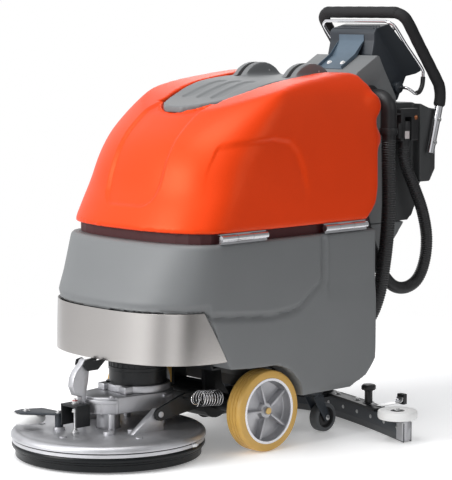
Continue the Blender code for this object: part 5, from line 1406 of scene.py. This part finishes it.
    def spring(self):
        """The tension spring: a hook, the coil's turns and a second hook, as one wire."""
        start, end = at(0.154, -0.168, 0.139), at(0.154, -0.067, 0.13)
        way = (end - start).normalized()
        up = way.cross(ACROSS).normalized()
        coil, first, last, turns = 0.019, 0.022, (end - start).length - 0.012, 8
        points = []
        for i in range(13):
            turn = math.radians(-90 + 270 * (1 - i / 12))
            points.append(start + way * (0.0145 - 0.014 * math.sin(turn)) + up * (0.014 * math.cos(turn)))
        count = turns * 14
        for i in range(count + 1):
            share = i / count
            turn = math.tau * turns * share + math.pi / 2
            place = start + way * (first + (last - first) * share)
            points.append(place + (ACROSS * math.cos(turn) + up * math.sin(turn)) * coil)
        for i in range(10):
            turn = math.radians(90 - 240 * i / 9)
            points.append(end - way * (0.0065 - 0.0055 * math.cos(turn)) + up * (0.0055 * math.sin(turn)))
        wire = tube([tuple(p) for p in points], sizes().coil_wire, 8, 1100, smooth=2)
        done(wire, "coil_spring", "lift_arms", "spring", "tension_spring", smooth=60,
             slot="spring_steel")

    def roller(self):
        """The deck's guard roller and the plate that carries it."""
        x, y, z = -0.125, -0.452, 0.092
        half, radius = 0.011, 0.046
        profile = [(0.0056, -half), (radius - 0.007, -half), (radius - 0.003, -half + 0.0015),
                   (radius, -half + 0.006), (radius, half - 0.006), (radius - 0.003, half - 0.0015),
                   (radius - 0.007, half), (radius * 0.52, half), (radius * 0.48, half - 0.003),
                   (0.0056, half - 0.003)]
        wheel = turned(profile, at(x, y, z), "Z", 72)
        done(wheel, "deck_guard_roller", "deck_roller", "white", "deck_roller", smooth=34,
             slot="white_plastic")
        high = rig.box("roller_plate")[1]
        outline = [(x - 0.022, y - 0.02), (x + 0.01, y - 0.026), (x + 0.085, y + 0.032),
                   (x + 0.085, y + 0.058), (x - 0.004, y + 0.052), (x - 0.026, y + 0.006)]
        top = high.z - 0.004
        flat = level_plate(outline, top, top + 0.004, 0.0012, 2)
        stud = post(x, y, z - 0.014, top + 0.002, 0.005, 24)
        foot = post(*GUARD_FOOT, 0.0743, top + 0.002, 0.01, 24)
        done(joined([flat, stud, foot]), "guard_plate", "deck", "slate", "roller_plate", slot="slate_paint")
        for index, (a, b) in enumerate(((x, y), GUARD_FOOT)):
            screw = screw_head(at(a, b, top + 0.004), (0, 0, 1), 0.0062, 0.0045)
            done(screw, "guard_screw_" + "ab"[index], "deck", "zinc", slot="chrome")


# ---- the handle, the console and the rear housing -----------------------------------------------
BAIL_PIVOT = (0.628, 0.862)


def handle_line(cover):
    """The handle's centre line, from the left end over the top to the right end, or its gripped part."""
    side = [] if cover else [(0.692, 0.688)]
    side += [(0.726, 0.811), (0.7305, 0.836), (0.727, 0.862), (0.714, 0.884), (0.643, 0.977), (0.6, 1.034)]
    left = [(0.15, y, z) for y, z in side]
    left += [(0.142, 0.588, 1.051), (0.125, 0.582, 1.0585), (0.102, 0.581, 1.06)]
    return [at(*point) for point in left + [(-x, y, z) for x, y, z in left[::-1]]]


class SCRUBBER_OT_handle(bpy.types.Operator):
    """Model the chrome handle tube, its foam grip with rounded ends, and the drive bail inside it"""
    bl_idname = "scrubber.handle"
    bl_label = "Handle"

    def execute(self, context):
        done(tube(handle_line(False), 0.011, 24, 260, smooth=8), "handle_bar", "chassis", "chrome",
             "handle_tube", smooth=50, slot="chrome")
        line = handle_line(True)
        length = path_length(smooth_path(line, 8))

        def shape(distance):
            end = min(distance, length - distance)
            swell = 0.0153 if end > 0.006 else 0.0118 + 0.0035 * math.sin(math.pi / 2 * end / 0.006)
            return swell + 0.0002 * math.sin(distance * 160)

        grip = tube(line, 0.0155, 28, 300, smooth=8, shape=shape)
        done(grip, "foam_grip", "chassis", "foam", "handle_grip", smooth=50, slot="black_foam")
        for side, name in SIDES:
            for index, (y, z) in enumerate(((0.7, 0.717), (0.7165, 0.777))):
                screw = screw_head(at(side * 0.1605, y, z), (side, 0, 0), 0.0048, 0.0036)
                done(screw, f"handle_screw_{name}_{index}", "chassis", "zinc", slot="chrome")
        y, z = BAIL_PIVOT
        side = [(0.086, y, z), (0.112, y, z), (0.124, y + 0.003, z - 0.002), (0.129, y + 0.014, z - 0.009),
                (0.129, 0.655, 0.8465), (0.129, 0.672, 0.852), (0.129, 0.682, 0.868), (0.129, 0.685, 0.895),
                (0.129, 0.678, 0.914), (0.129, 0.618, 0.974), (0.129, 0.576, 1.02), (0.123, 0.566, 1.0305),
                (0.109, 0.561, 1.036), (0.091, 0.56, 1.037)]
        path = [at(*p) for p in side] + [at(-a, b, c) for a, b, c in side[::-1]]
        done(tube(path, 0.004, 16, 300, smooth=6), "bail_rod", "bail", "chrome", "bail", smooth=50,
             slot="chrome")
        for sign, name in SIDES:
            sleeve = tube([at(sign * 0.129, *p) for p in ((0.66, 0.8475), (0.672, 0.852), (0.682, 0.868),
                                                           (0.685, 0.89))], 0.0062, 20, 40, smooth=6)
            done(sleeve, "bail_sleeve_" + name, "bail", "black", smooth=50, slot="black_plastic")
        return {"FINISHED"}


FACE_TOP = Vector((0, 0.605, 1.03))
FACE_WAY = Vector((0, 0.131, -0.118)).normalized()  # down the console's sloping face
FACE_OUT = Vector((0, 0.118, 0.131)).normalized()
KEY_PLACE = (0.05, 0.045)  # across and down the face
WATER_PLACE = (-0.048, 0.05)
BUTTONS = ((0.02, 0.125), (-0.02, 0.125))


def on_face(x, down):
    """A point on the console's sloping face, given across and down it from its top edge."""
    return FACE_TOP + Vector((x, AXLE_Y, 0)) + FACE_WAY * down


class SCRUBBER_OT_console(bpy.types.Operator):
    """Model the slate console with its ridges and knuckle, the painted bracket and its screws"""
    bl_idname = "scrubber.console"
    bl_label = "Console"

    def execute(self, context):
        outline = [(0.545, 1.008), (0.553, 1.018), (0.605, 1.03), (0.736, 0.912), (0.737, 0.905),
                   (0.712, 0.896), (0.672, 0.89), (0.64, 0.828), (0.628, 0.826), (0.6035, 0.8395),
                   (0.596, 0.8525), (0.5575, 0.912), (0.537, 0.949), (0.546, 0.985)]
        body = side_plate(outline, -0.081, 0.081, 0.0042, 4, 12)
        knuckle = bar((-0.098, *BAIL_PIVOT), (0.098, *BAIL_PIVOT), 0.016, 40, 0.004)
        unite(body, knuckle)
        holes = [(KEY_PLACE, 0.0116), (WATER_PLACE, 0.0196)] + [(spot, 0.0126) for spot in BUTTONS]
        for place, radius in holes:
            centre = on_face(*place)
            carve(body, rod(centre - FACE_OUT * 0.008, centre + FACE_OUT * 0.02, radius, 40))
        for index in range(3):
            low = on_face(0, 0) + Vector((0, -0.0505 + 0.012 * index, -0.0122 + 0.0028 * index))
            ridge = rod(low + Vector((-0.07, 0, 0)), low + Vector((0.07, 0, 0)), 0.0026, 20, 0.0008)
            unite(body, ridge)
        done(body, "console_body", "chassis", "slate", "console", smooth=28, slot="slate_plastic")
        middle = on_face(*WATER_PLACE) + FACE_OUT * 0.0004

        def place(u, v):
            turn = math.tau * u
            return middle + (ACROSS * math.cos(turn) + FACE_WAY * math.sin(turn)) * (0.0235 + 0.0035 * v)

        dial = skin(48, 3, place, caps=False)
        apply(dial, "SOLIDIFY", thickness=0.0005, offset=0)
        done(dial, "dial_ring", "chassis", "white", smooth=28, slot="white_plastic")
        self.bracket()
        self.knobs()
        return {"FINISHED"}

    def bracket(self):
        """The painted sheet under the console, with its turned-down edges and two screws."""
        out = Vector((-0.488, 0.873))
        foot = Vector((0.462, 0.9126)) + out * 0.0004
        bend = Vector((0.518, 0.9439)) + out * 0.0004
        points = [foot, bend, Vector((0.5457, 0.985)), Vector((0.545, 1.0015))]
        other = [foot + out * 0.0018, bend + out * 0.0018 + Vector((-0.0008, 0)), Vector((0.5437, 0.986)),
                 Vector((0.5432, 1.0015))]
        sheet = side_plate(points + other[::-1], -0.045, 0.045, 0.0006, 1)
        ribs = []
        for side in (-1, 1):
            x = side * 0.0442
            edge = [foot + out * 0.002, bend + out * 0.0015, Vector((0.5437, 0.986)),
                    Vector((0.536, 0.98)), bend + out * 0.0085 + Vector((-0.004, 0)), foot + out * 0.0085]
            ribs.append(side_plate(edge, x - 0.0008, x + 0.0008, 0.0004, 1))
        done(joined([sheet, *ribs]), "bracket_sheet", "chassis", "bracket", "console_bracket",
             slot="slate_paint")
        p = foot + (bend - foot) * 0.45 + out * 0.0018
        for index, x in enumerate((-0.024, 0.024)):
            screw = screw_head(at(x, p.x, p.y), (0, out.x, out.y), 0.005, 0.004)
            done(screw, "bracket_screw_" + "ab"[index], "chassis", "white", slot="chrome")

    def knobs(self):
        """The key switch, the water knob and the two push buttons, each on its own body."""
        key = self.spun(KEY_PLACE, [(0, -0.006), (0.0109, -0.006), (0.0109, 0.0068), (0.0098, 0.008),
                                    (0.0062, 0.008), (0.0058, 0.0068), (0, 0.0068)])
        blade = self.fin(KEY_PLACE, 0.006, 0.029, 0.007, 4, 0.0008, 0.8)
        done(joined([key, blade]), "key_barrel", "key_switch", "chrome", "key_switch", slot="chrome")
        knob = self.spun(WATER_PLACE, [(0, -0.006), (0.0188, -0.006), (0.0188, 0.01), (0.018, 0.0135),
                                       (0.016, 0.0158), (0, 0.0158)])
        fin = self.fin(WATER_PLACE, 0.015, 0.0212, 0.017, 32, 0.0015, 0.78)
        done(joined([knob, fin]), "water_dial", "water_knob", "black", "water_knob", slot="black_plastic")
        for place, name in zip(BUTTONS, ("brush_button", "vacuum_button")):
            button = self.spun(place, [(0, -0.006), (0.0119, -0.006), (0.0119, 0.0036), (0.011, 0.0048),
                                       (0.006, 0.0042), (0, 0.004)])
            done(button, name + "_cap", name, "black", name, slot="black_plastic")

    def spun(self, place_on_face, profile):
        """A closed (radius, rise) profile spun round a line square to the console's face."""
        centre = on_face(*place_on_face)
        loop = profile + profile[:1]

        def place(u, v):
            radius, rise = loop[round(v * (len(loop) - 1))]
            turn = math.tau * u
            return centre + FACE_OUT * rise + (ACROSS * math.cos(turn) + FACE_WAY * math.sin(turn)) * radius

        return skin(48, len(loop) - 1, place, caps=False)

    def fin(self, place_on_face, low, high, radius, sides, edge, squash):
        """A bar square to the console's face, flattened across the machine."""
        centre = on_face(*place_on_face)
        piece = rod(centre + FACE_OUT * low, centre + FACE_OUT * high, radius, sides, edge)
        for vert in piece.data.vertices:
            vert.co -= ACROSS * (vert.co - centre).dot(ACROSS) * squash
        return piece


class SCRUBBER_OT_rear_housing(bpy.types.Operator):
    """Model the grey column behind the tanks and the dark rear cover with its dome"""
    bl_idname = "scrubber.rear_housing"
    bl_label = "Rear housing"

    def execute(self, context):
        base = 0.5093
        outline = [(0.445, base), (0.445, 0.894), (0.447, 0.901), (0.452, 0.907), (0.521, 0.9455),
                   (0.527, 0.9485), (0.534, 0.947), (0.555, 0.91), (0.594, 0.849), (0.6, 0.838),
                   (0.6, base)]
        column = slab(outline, COLUMN_HALF)
        hollow = [(0.449, 0.4), (0.449, 0.896), (0.527, 0.942), (0.552, 0.908), (0.59, 0.846),
                  (0.596, 0.836), (0.596, 0.815), (0.7, 0.815), (0.7, 0.4)]
        carve(column, slab(hollow, HOLLOW_HALF))
        carve(column, bar((0.081, 0.5, 0.842), (0.141, 0.5, 0.842), 0.0165, 32))
        bevel(column, 0.003, 3, 40)
        done(column, "column_cover", "chassis", "grey", "rear_column", smooth=30, slot="grey_plastic")
        self.rear(base)
        return {"FINISHED"}

    def rear(self, base):
        """The dark rear cover with its wings, dome and hollow."""
        upper = [(0.6003, 0.56), (0.6003, 0.823), (0.665, 0.823), (0.702, 0.808), (0.743, 0.803),
                 (0.749, 0.79), (0.753, 0.669), (0.74, 0.645), (0.697, 0.605), (0.68, 0.56)]
        wings = [(0.665, 0.612), (0.665, 0.821), (0.702, 0.8075), *upper[4:8], (0.704, 0.612)]
        lower = [(0.6003, base), (0.6003, 0.6), (0.69, 0.6), (0.685, 0.56), (0.668, 0.525), (0.65, base)]
        cover = slab(upper, COLUMN_HALF)
        unite(cover, slab(wings, 0.1387), slab(lower, COLUMN_HALF))
        dome = bar((-0.1115, 0.64, 0.64), (0.1115, 0.64, 0.64), 0.038, 48, 0.006)
        unite(cover, dome)
        hollow = [(0.58, base - 0.02), (0.58, 0.8), (0.66, 0.8), (0.739, 0.785), (0.745, 0.672),
                  (0.69, 0.612), (0.672, 0.56), (0.64, base + 0.004), (0.64, base - 0.02)]
        carve(cover, slab(hollow, HOLLOW_HALF))
        for side in (-1, 1):
            corner = [(side * 0.112, 0.754), (side * 0.15, 0.754), (side * 0.15, 0.708), (side * 0.1387,
                                                                                          0.708),
                      (side * 0.13, 0.735)]
            carve(cover, level_plate(corner, 0.55, 0.85))
        remeshed(cover, 0.003, 3, lambda p: soft_step(p.y, 0.605 + AXLE_Y, 0.615 + AXLE_Y))
        done(cover, "rear_cover", "chassis", "grey_rear", "rear_shell", smooth=45, slot="grey_plastic")


# ---- the squeegee and the casters ---------------------------------------------------------------
ROLLER_X, ROLLER_Y = 0.388, 0.311  # a guard roller's axle, to either side


def squeegee_place(x, offset):
    """A point of the squeegee's bow, seen from above, with its distance behind the middle line."""
    return x, 0.452 - 0.121 * (abs(x) / 0.4) ** 1.3 + offset + AXLE_Y


def bowed(reach, front, rear, low, high, edge=0.0, count=44):
    """A strip that follows the squeegee's bow between two heights and two offsets."""
    steps = [-reach + 2 * reach * i / count for i in range(count + 1)]
    outline = [squeegee_place(x, front) for x in steps] + [squeegee_place(x, rear) for x in steps[::-1]]
    return plate(outline, low, high, "Z", edge, 2, 40)


class SCRUBBER_OT_squeegee(bpy.types.Operator):
    """Model the bowed squeegee bar with its clamp strips, screws, end plates, knobs and rollers"""
    bl_idname = "scrubber.squeegee"
    bl_label = "Squeegee"

    def execute(self, context):
        low, high, top = 0.03, 0.052, 0.058
        body = bowed(0.4, -0.0115, 0.0115, low, high)
        tools = [bowed(0.262, -0.022, 0.02, high - 0.001, top)]
        tools.append(block((-0.035, 0.377, high - 0.004), (0.035, 0.448, top)))
        for side in (-1, 1):
            near, far = sorted((side * 0.348, side * 0.398))
            tools.append(block((near, 0.299, high - 0.001), (far, 0.356, 0.058)))
        unite(body, *tools)
        carve(body, post(0, 0.395, 0.0, 0.1, 0.0068, 32))
        carve(body, post(0, 0.448, 0.0, 0.1, 0.0136, 32))
        bevel(body, 0.0012, 2, 40)
        done(body, "squeegee_body", "squeegee", "black_paint", "squeegee_bar", smooth=30,
             slot="black_paint")
        front = bowed(0.398, -0.0163, -0.0149, 0.0165, 0.0505, 0.0005)
        done(front, "clamp_strip", "squeegee", "slate", smooth=30, slot="slate_paint")
        screws = []
        for index in range(12):
            x = -0.374 + 0.748 * index / 11
            slope = 0.121 * 1.3 * abs(x / 0.4) ** 0.3 / 0.4 * (1 if x > 0 else -1)
            way = Vector((-slope, -1, 0)).normalized()
            place = Vector((*squeegee_place(x, -0.016), 0.033))
            screws.append(screw_head(place, way, 0.0034, 0.0026, socket=False))
        done(joined(screws), "clamp_screws", "squeegee", "zinc", slot="stainless")
        for side, name in SIDES:
            self.end(side, name, top)
            self.knob(side, name, top)
            self.roller(side, name)
        return {"FINISHED"}

    def end(self, side, name, top):
        """The metal end plate, the rear hook with its block and dome nut, and the roller's stud."""
        x0, x1 = side * 0.372, side * 0.4035
        steps = [x0 + (x1 - x0) * i / 8 for i in range(9)]
        outline = [squeegee_place(x, -0.0176) for x in steps]
        outline += [squeegee_place(side * 0.406, -0.012), squeegee_place(side * 0.406, 0.012)]
        outline += [squeegee_place(side * 0.4045, 0.012), squeegee_place(side * 0.4045, -0.0115)]
        outline += [squeegee_place(x, -0.0163) for x in steps[::-1]]
        cap = plate(outline, 0.003, 0.0512, "Z", 0.0004, 1, 40)
        done(cap, "end_plate_" + name, "squeegee", "cast", smooth=40, slot="stainless")
        hook_x = side * 0.249
        foot = squeegee_place(hook_x, 0)[1] - AXLE_Y
        strap = [(foot + 0.004, 0.0582), (foot + 0.004, 0.06), (0.462, 0.06), (0.47, 0.064),
                 (0.472, 0.072), (0.4738, 0.072), (0.4725, 0.062), (0.464, 0.0582)]
        arm = side_plate(strap, hook_x - 0.011, hook_x + 0.011, 0.0005, 1)
        done(arm, "hook_strap_" + name, "squeegee", "zinc", slot="stainless")
        pad = block((hook_x - 0.012, 0.4745, 0.0522), (hook_x + 0.012, 0.488, 0.08), 0.002, 2)
        carve(pad, post(hook_x, 0.481, 0.074, 0.082, 0.0036, 24))
        done(pad, "hook_block_" + name, "squeegee", "black", smooth=30, slot="black_plastic")
        nut = joined([hex_nut(at(hook_x, 0.463, 0.06), (0, 0, 1), 0.0062, 0.0045),
                      post(hook_x, 0.463, 0.064, 0.07, 0.0042, 20, 0.003)])
        done(nut, "hook_nut_" + name, "squeegee", "chrome", slot="chrome")
        x, y = side * ROLLER_X, ROLLER_Y
        stud = joined([post(x, y, 0.05, 0.08, 0.0052, 24, 0.0004),
                       post(x, y, 0.0785, 0.0822, 0.009, 24, 0.0012),
                       post(x, y, 0.082, 0.085, 0.005, 6, 0.0006)])
        done(stud, "roller_stud_" + name, "squeegee", "zinc", slot="stainless")
        for index, (x, y) in enumerate(((0.15, 0.418), (0.225, 0.396), (0.06, 0.44))):
            x *= side
            bolt = joined([post(x, y, top - 0.0003, top + 0.0012, 0.0078, 24, 0.0003),
                           hex_nut(at(x, y, top + 0.001), (0, 0, 1), 0.0056, 0.0042)])
            done(bolt, f"plate_bolt_{name}_{index}", "squeegee", "zinc", slot="stainless")

    def knob(self, side, name, top):
        """A six-lobed knob on its neck."""
        x, y, base = side * 0.199, 0.408, top + 0.0003
        profile = [(0.0001, 0.0), (0.015, 0.0), (0.015, 0.0018), (0.0112, 0.003), (0.0102, 0.006),
                   (0.0102, 0.03), (0.012, 0.0335), (0.0178, 0.035), (0.019, 0.0368), (0.019, 0.044),
                   (0.0178, 0.0462), (0.016, 0.0482), (0.012, 0.0489), (0.0001, 0.0489)]

        def place(u, v):
            radius, height = profile[round(v * (len(profile) - 1))]
            turn = math.tau * u
            if height > 0.034 and radius > 0.013:
                radius -= 0.0016 * (0.5 - 0.5 * math.cos(turn * 6)) ** 2
            return at(x + radius * math.cos(turn), y + radius * math.sin(turn), base + height)

        knob = skin(72, len(profile) - 1, place)
        done(knob, "star_knob_" + name, "squeegee_knob_" + name, "black", "squeegee_knob_" + name,
             smooth=38, slot="black_plastic")

    def roller(self, side, name):
        """A guard roller and its bush."""
        body = "squeegee_roller_" + name
        profile = [(0.018, -0.0108), (0.044, -0.011), (0.0475, -0.01), (0.0494, -0.007), (0.05, -0.002),
                   (0.0497, 0.0), (0.05, 0.002), (0.0494, 0.007), (0.0475, 0.01), (0.044, 0.011),
                   (0.026, 0.011), (0.025, 0.0096), (0.018, 0.0094)]
        ring_piece = turned(profile, at(side * ROLLER_X, ROLLER_Y, 0.07), "Z", 72)
        done(ring_piece, "guard_roller_" + name, body, "white", body, smooth=38, slot="white_plastic")
        centre = [(0.0058, -0.01), (0.0182, -0.01), (0.0182, 0.0084), (0.013, 0.008), (0.011, 0.0062),
                  (0.0058, 0.0062)]
        bush = turned(centre, at(side * ROLLER_X, ROLLER_Y, 0.07), "Z", 48)
        done(bush, "roller_bush_" + name, body, "black", smooth=38, slot="black_plastic")


class SCRUBBER_OT_casters(bpy.types.Operator):
    """Model the two rear casters: pressed forks with a swivel ring, wheels and axle bolts"""
    bl_idname = "scrubber.casters"
    bl_label = "Casters"

    def execute(self, context):
        top = 0.1077
        swivel, axle, radius, half = 0.232, 0.268, 0.0375, 0.013
        for side, name in SIDES:
            x = side * 0.17
            fork = joined([post(x, swivel, top - 0.0052, top - 0.0001, 0.0248, 48, 0.001), post(x, swivel,
                                                                                                top - 0.01,
                                                                                                top
                                                                                                - 0.0055,
                                                                                                0.0205, 48,
                                                                                                0.0016),
                           block((x - 0.0195, swivel - 0.0155, top - 0.0125), (x + 0.0195, swivel + 0.0215,
                                                                               top - 0.0095), 0.0012, 2),])
            line = [(swivel - 0.0155, top - 0.01), (swivel + 0.0215, top - 0.01), (swivel + 0.029, 0.072),
                    *arc((axle, radius), 0.0098, 40, -150, 12), (swivel + 0.006, 0.062)]
            cheeks = []
            for edge in (-1, 1):
                near, far = sorted((x + edge * (half + 0.0012), x + edge * (half + 0.0038)))
                cheeks.append(side_plate(line, near, far, 0.0006, 2, 40))
            done(joined([fork, *cheeks]), "fork_" + name, "caster_" + name, "slate", "caster_fork_" + name,
                 slot="slate_paint")
            reach = half + 0.0038
            bolt = [bar((x - reach, axle, radius), (x + reach, axle, radius), 0.004, 20)]
            for edge in (-1, 1):
                bolt.append(bar((x + edge * reach, axle, radius), (x + edge * (reach + 0.003), axle,
                                                                   radius), 0.0068, 24, 0.0012))
            done(joined(bolt), "axle_bolt_" + name, "caster_" + name, "zinc", slot="stainless")
            tyre = turned([(0.027, -half), (0.0345, -half), (0.0368, -0.0105), (0.0375, -0.004),
                           (0.0375, 0.004), (0.0368, 0.0105), (0.0345, half), (0.027, half)],
                          at(x, axle, radius), "X", 64)
            done(tyre, "caster_tyre_" + name, "caster_roll_" + name, "grey_rubber", "caster_wheel_" + name,
                 smooth=38, slot="grey_rubber")
            hub = turned([(0.0047, -0.0126), (0.011, -0.0126), (0.0125, -0.009), (0.0225, -0.007),
                          (0.025, -0.012), (0.0271, -0.0124), (0.0271, 0.0124), (0.025, 0.012),
                          (0.0225, 0.007), (0.0125, 0.009), (0.011, 0.0126), (0.0047, 0.0126)],
                         at(x, axle, radius), "X", 64)
            done(hub, "caster_hub_" + name, "caster_roll_" + name, "black", smooth=38, slot="black_plastic")
        return {"FINISHED"}


# ---- the finishes of the CAD parts --------------------------------------------------------------
CAD_FINISHES = {
    "orange": ("recovery_tank",),
    "grey": ("lid", "solution_tank", "rear_column"),
    # the ring in the gap between the tanks is coloured with painted shade of the orange tank
    "seal": ("tank_seal",),
    "steel": ("front_skirt",),
    "black_paint": (
        "chassis_frame", "transaxle", "caster_fork_left", "caster_fork_right", "lift_arms",
        "brush_motor", "front_guide", "squeegee_arm", "squeegee_bar",
    ),
    "battery": ("battery_left", "battery_right"),
    "chrome": (
        "hinge_base_front", "hinge_base_rear", "hinge_flap_front", "hinge_flap_rear", "handle_tube",
        "bail", "key_switch",
    ),
    "grey_rear": ("rear_shell",),
    "black": (
        "vacuum_motor", "column_port", "hose_holder", "drain_cap", "water_knob", "brush_button",
        "vacuum_button", "brush_plate", "squeegee_port", "squeegee_knob_left", "squeegee_knob_right",
        "suction_hose", "drain_hose",
    ),
    "slate": ("console", "roller_plate"),
    "bracket": ("console_bracket",),
    "foam": ("handle_grip",),
    "amber": ("tyre_left", "tyre_right"),
    "hub": ("wheel_hub_left", "wheel_hub_right"),
    "grey_rubber": (
        "caster_wheel_left", "caster_wheel_right", "squeegee_blade_front", "squeegee_blade_rear",
    ),
    "spring": ("tension_spring",),
    "cast": ("deck_cover", "gearbox"),
    "skirt_rubber": ("deck_skirt",),
    "bristle": ("brush_bristles",),
    "zinc": ("front_link", "adjuster_rod"),
    "white": ("deck_roller", "squeegee_roller_left", "squeegee_roller_right"),
}


class SCRUBBER_OT_kept_parts(bpy.types.Operator):
    """Give each CAD part its finish, which shows where no new piece replaces it"""
    bl_idname = "scrubber.kept_parts"
    bl_label = "Kept parts"

    def execute(self, context):
        for finish, names in CAD_FINISHES.items():
            for name in names:
                materials = NODES[name].data.materials
                materials.clear()
                materials.append(FINISHES[finish])
        return {"FINISHED"}


# ---- the add-on ---------------------------------------------------------------------------------
OPERATORS = (
    SCRUBBER_OT_stage,
    SCRUBBER_OT_hoses,
    SCRUBBER_OT_upper_tank,
    SCRUBBER_OT_lid,
    SCRUBBER_OT_lower_tank,
    SCRUBBER_OT_apron,
    SCRUBBER_OT_wheels,
    SCRUBBER_OT_deck,
    SCRUBBER_OT_brush_drive,
    SCRUBBER_OT_handle,
    SCRUBBER_OT_console,
    SCRUBBER_OT_rear_housing,
    SCRUBBER_OT_squeegee,
    SCRUBBER_OT_casters,
    SCRUBBER_OT_kept_parts,
)


class SCRUBBER_PT_panel(bpy.types.Panel):
    bl_label = "Floor scrubber"
    bl_idname = "SCRUBBER_PT_panel"
    bl_space_type = "VIEW_3D"
    bl_region_type = "UI"
    bl_category = "Scrubber"

    def draw(self, context):
        layout = self.layout
        for group in (sizes(), colours()):
            column = layout.column()
            for name in group.__annotations__:
                column.prop(group, name)
        for operator in OPERATORS:
            layout.operator(operator.bl_idname)


CLASSES = (ScrubberColours, ScrubberSizes, *OPERATORS, SCRUBBER_PT_panel)


def register():
    for made in CLASSES:
        bpy.utils.register_class(made)
    bpy.types.Scene.scrubber_sizes = bpy.props.PointerProperty(type=ScrubberSizes)
    bpy.types.Scene.scrubber_colours = bpy.props.PointerProperty(type=ScrubberColours)


def unregister():
    del bpy.types.Scene.scrubber_sizes
    del bpy.types.Scene.scrubber_colours
    for made in reversed(CLASSES):
        bpy.utils.unregister_class(made)


def main():
    register()
    FINISHES.update(make_finishes())
    for operator in OPERATORS:
        getattr(bpy.ops.scrubber, operator.bl_idname.split(".")[1])()
    boxes = {"cad": CAD_BOX, "visual": [list(corner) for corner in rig.bounds()]}
    with open("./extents.json", "w") as out:
        json.dump(boxes, out)


if __name__ == "__main__":
    main()
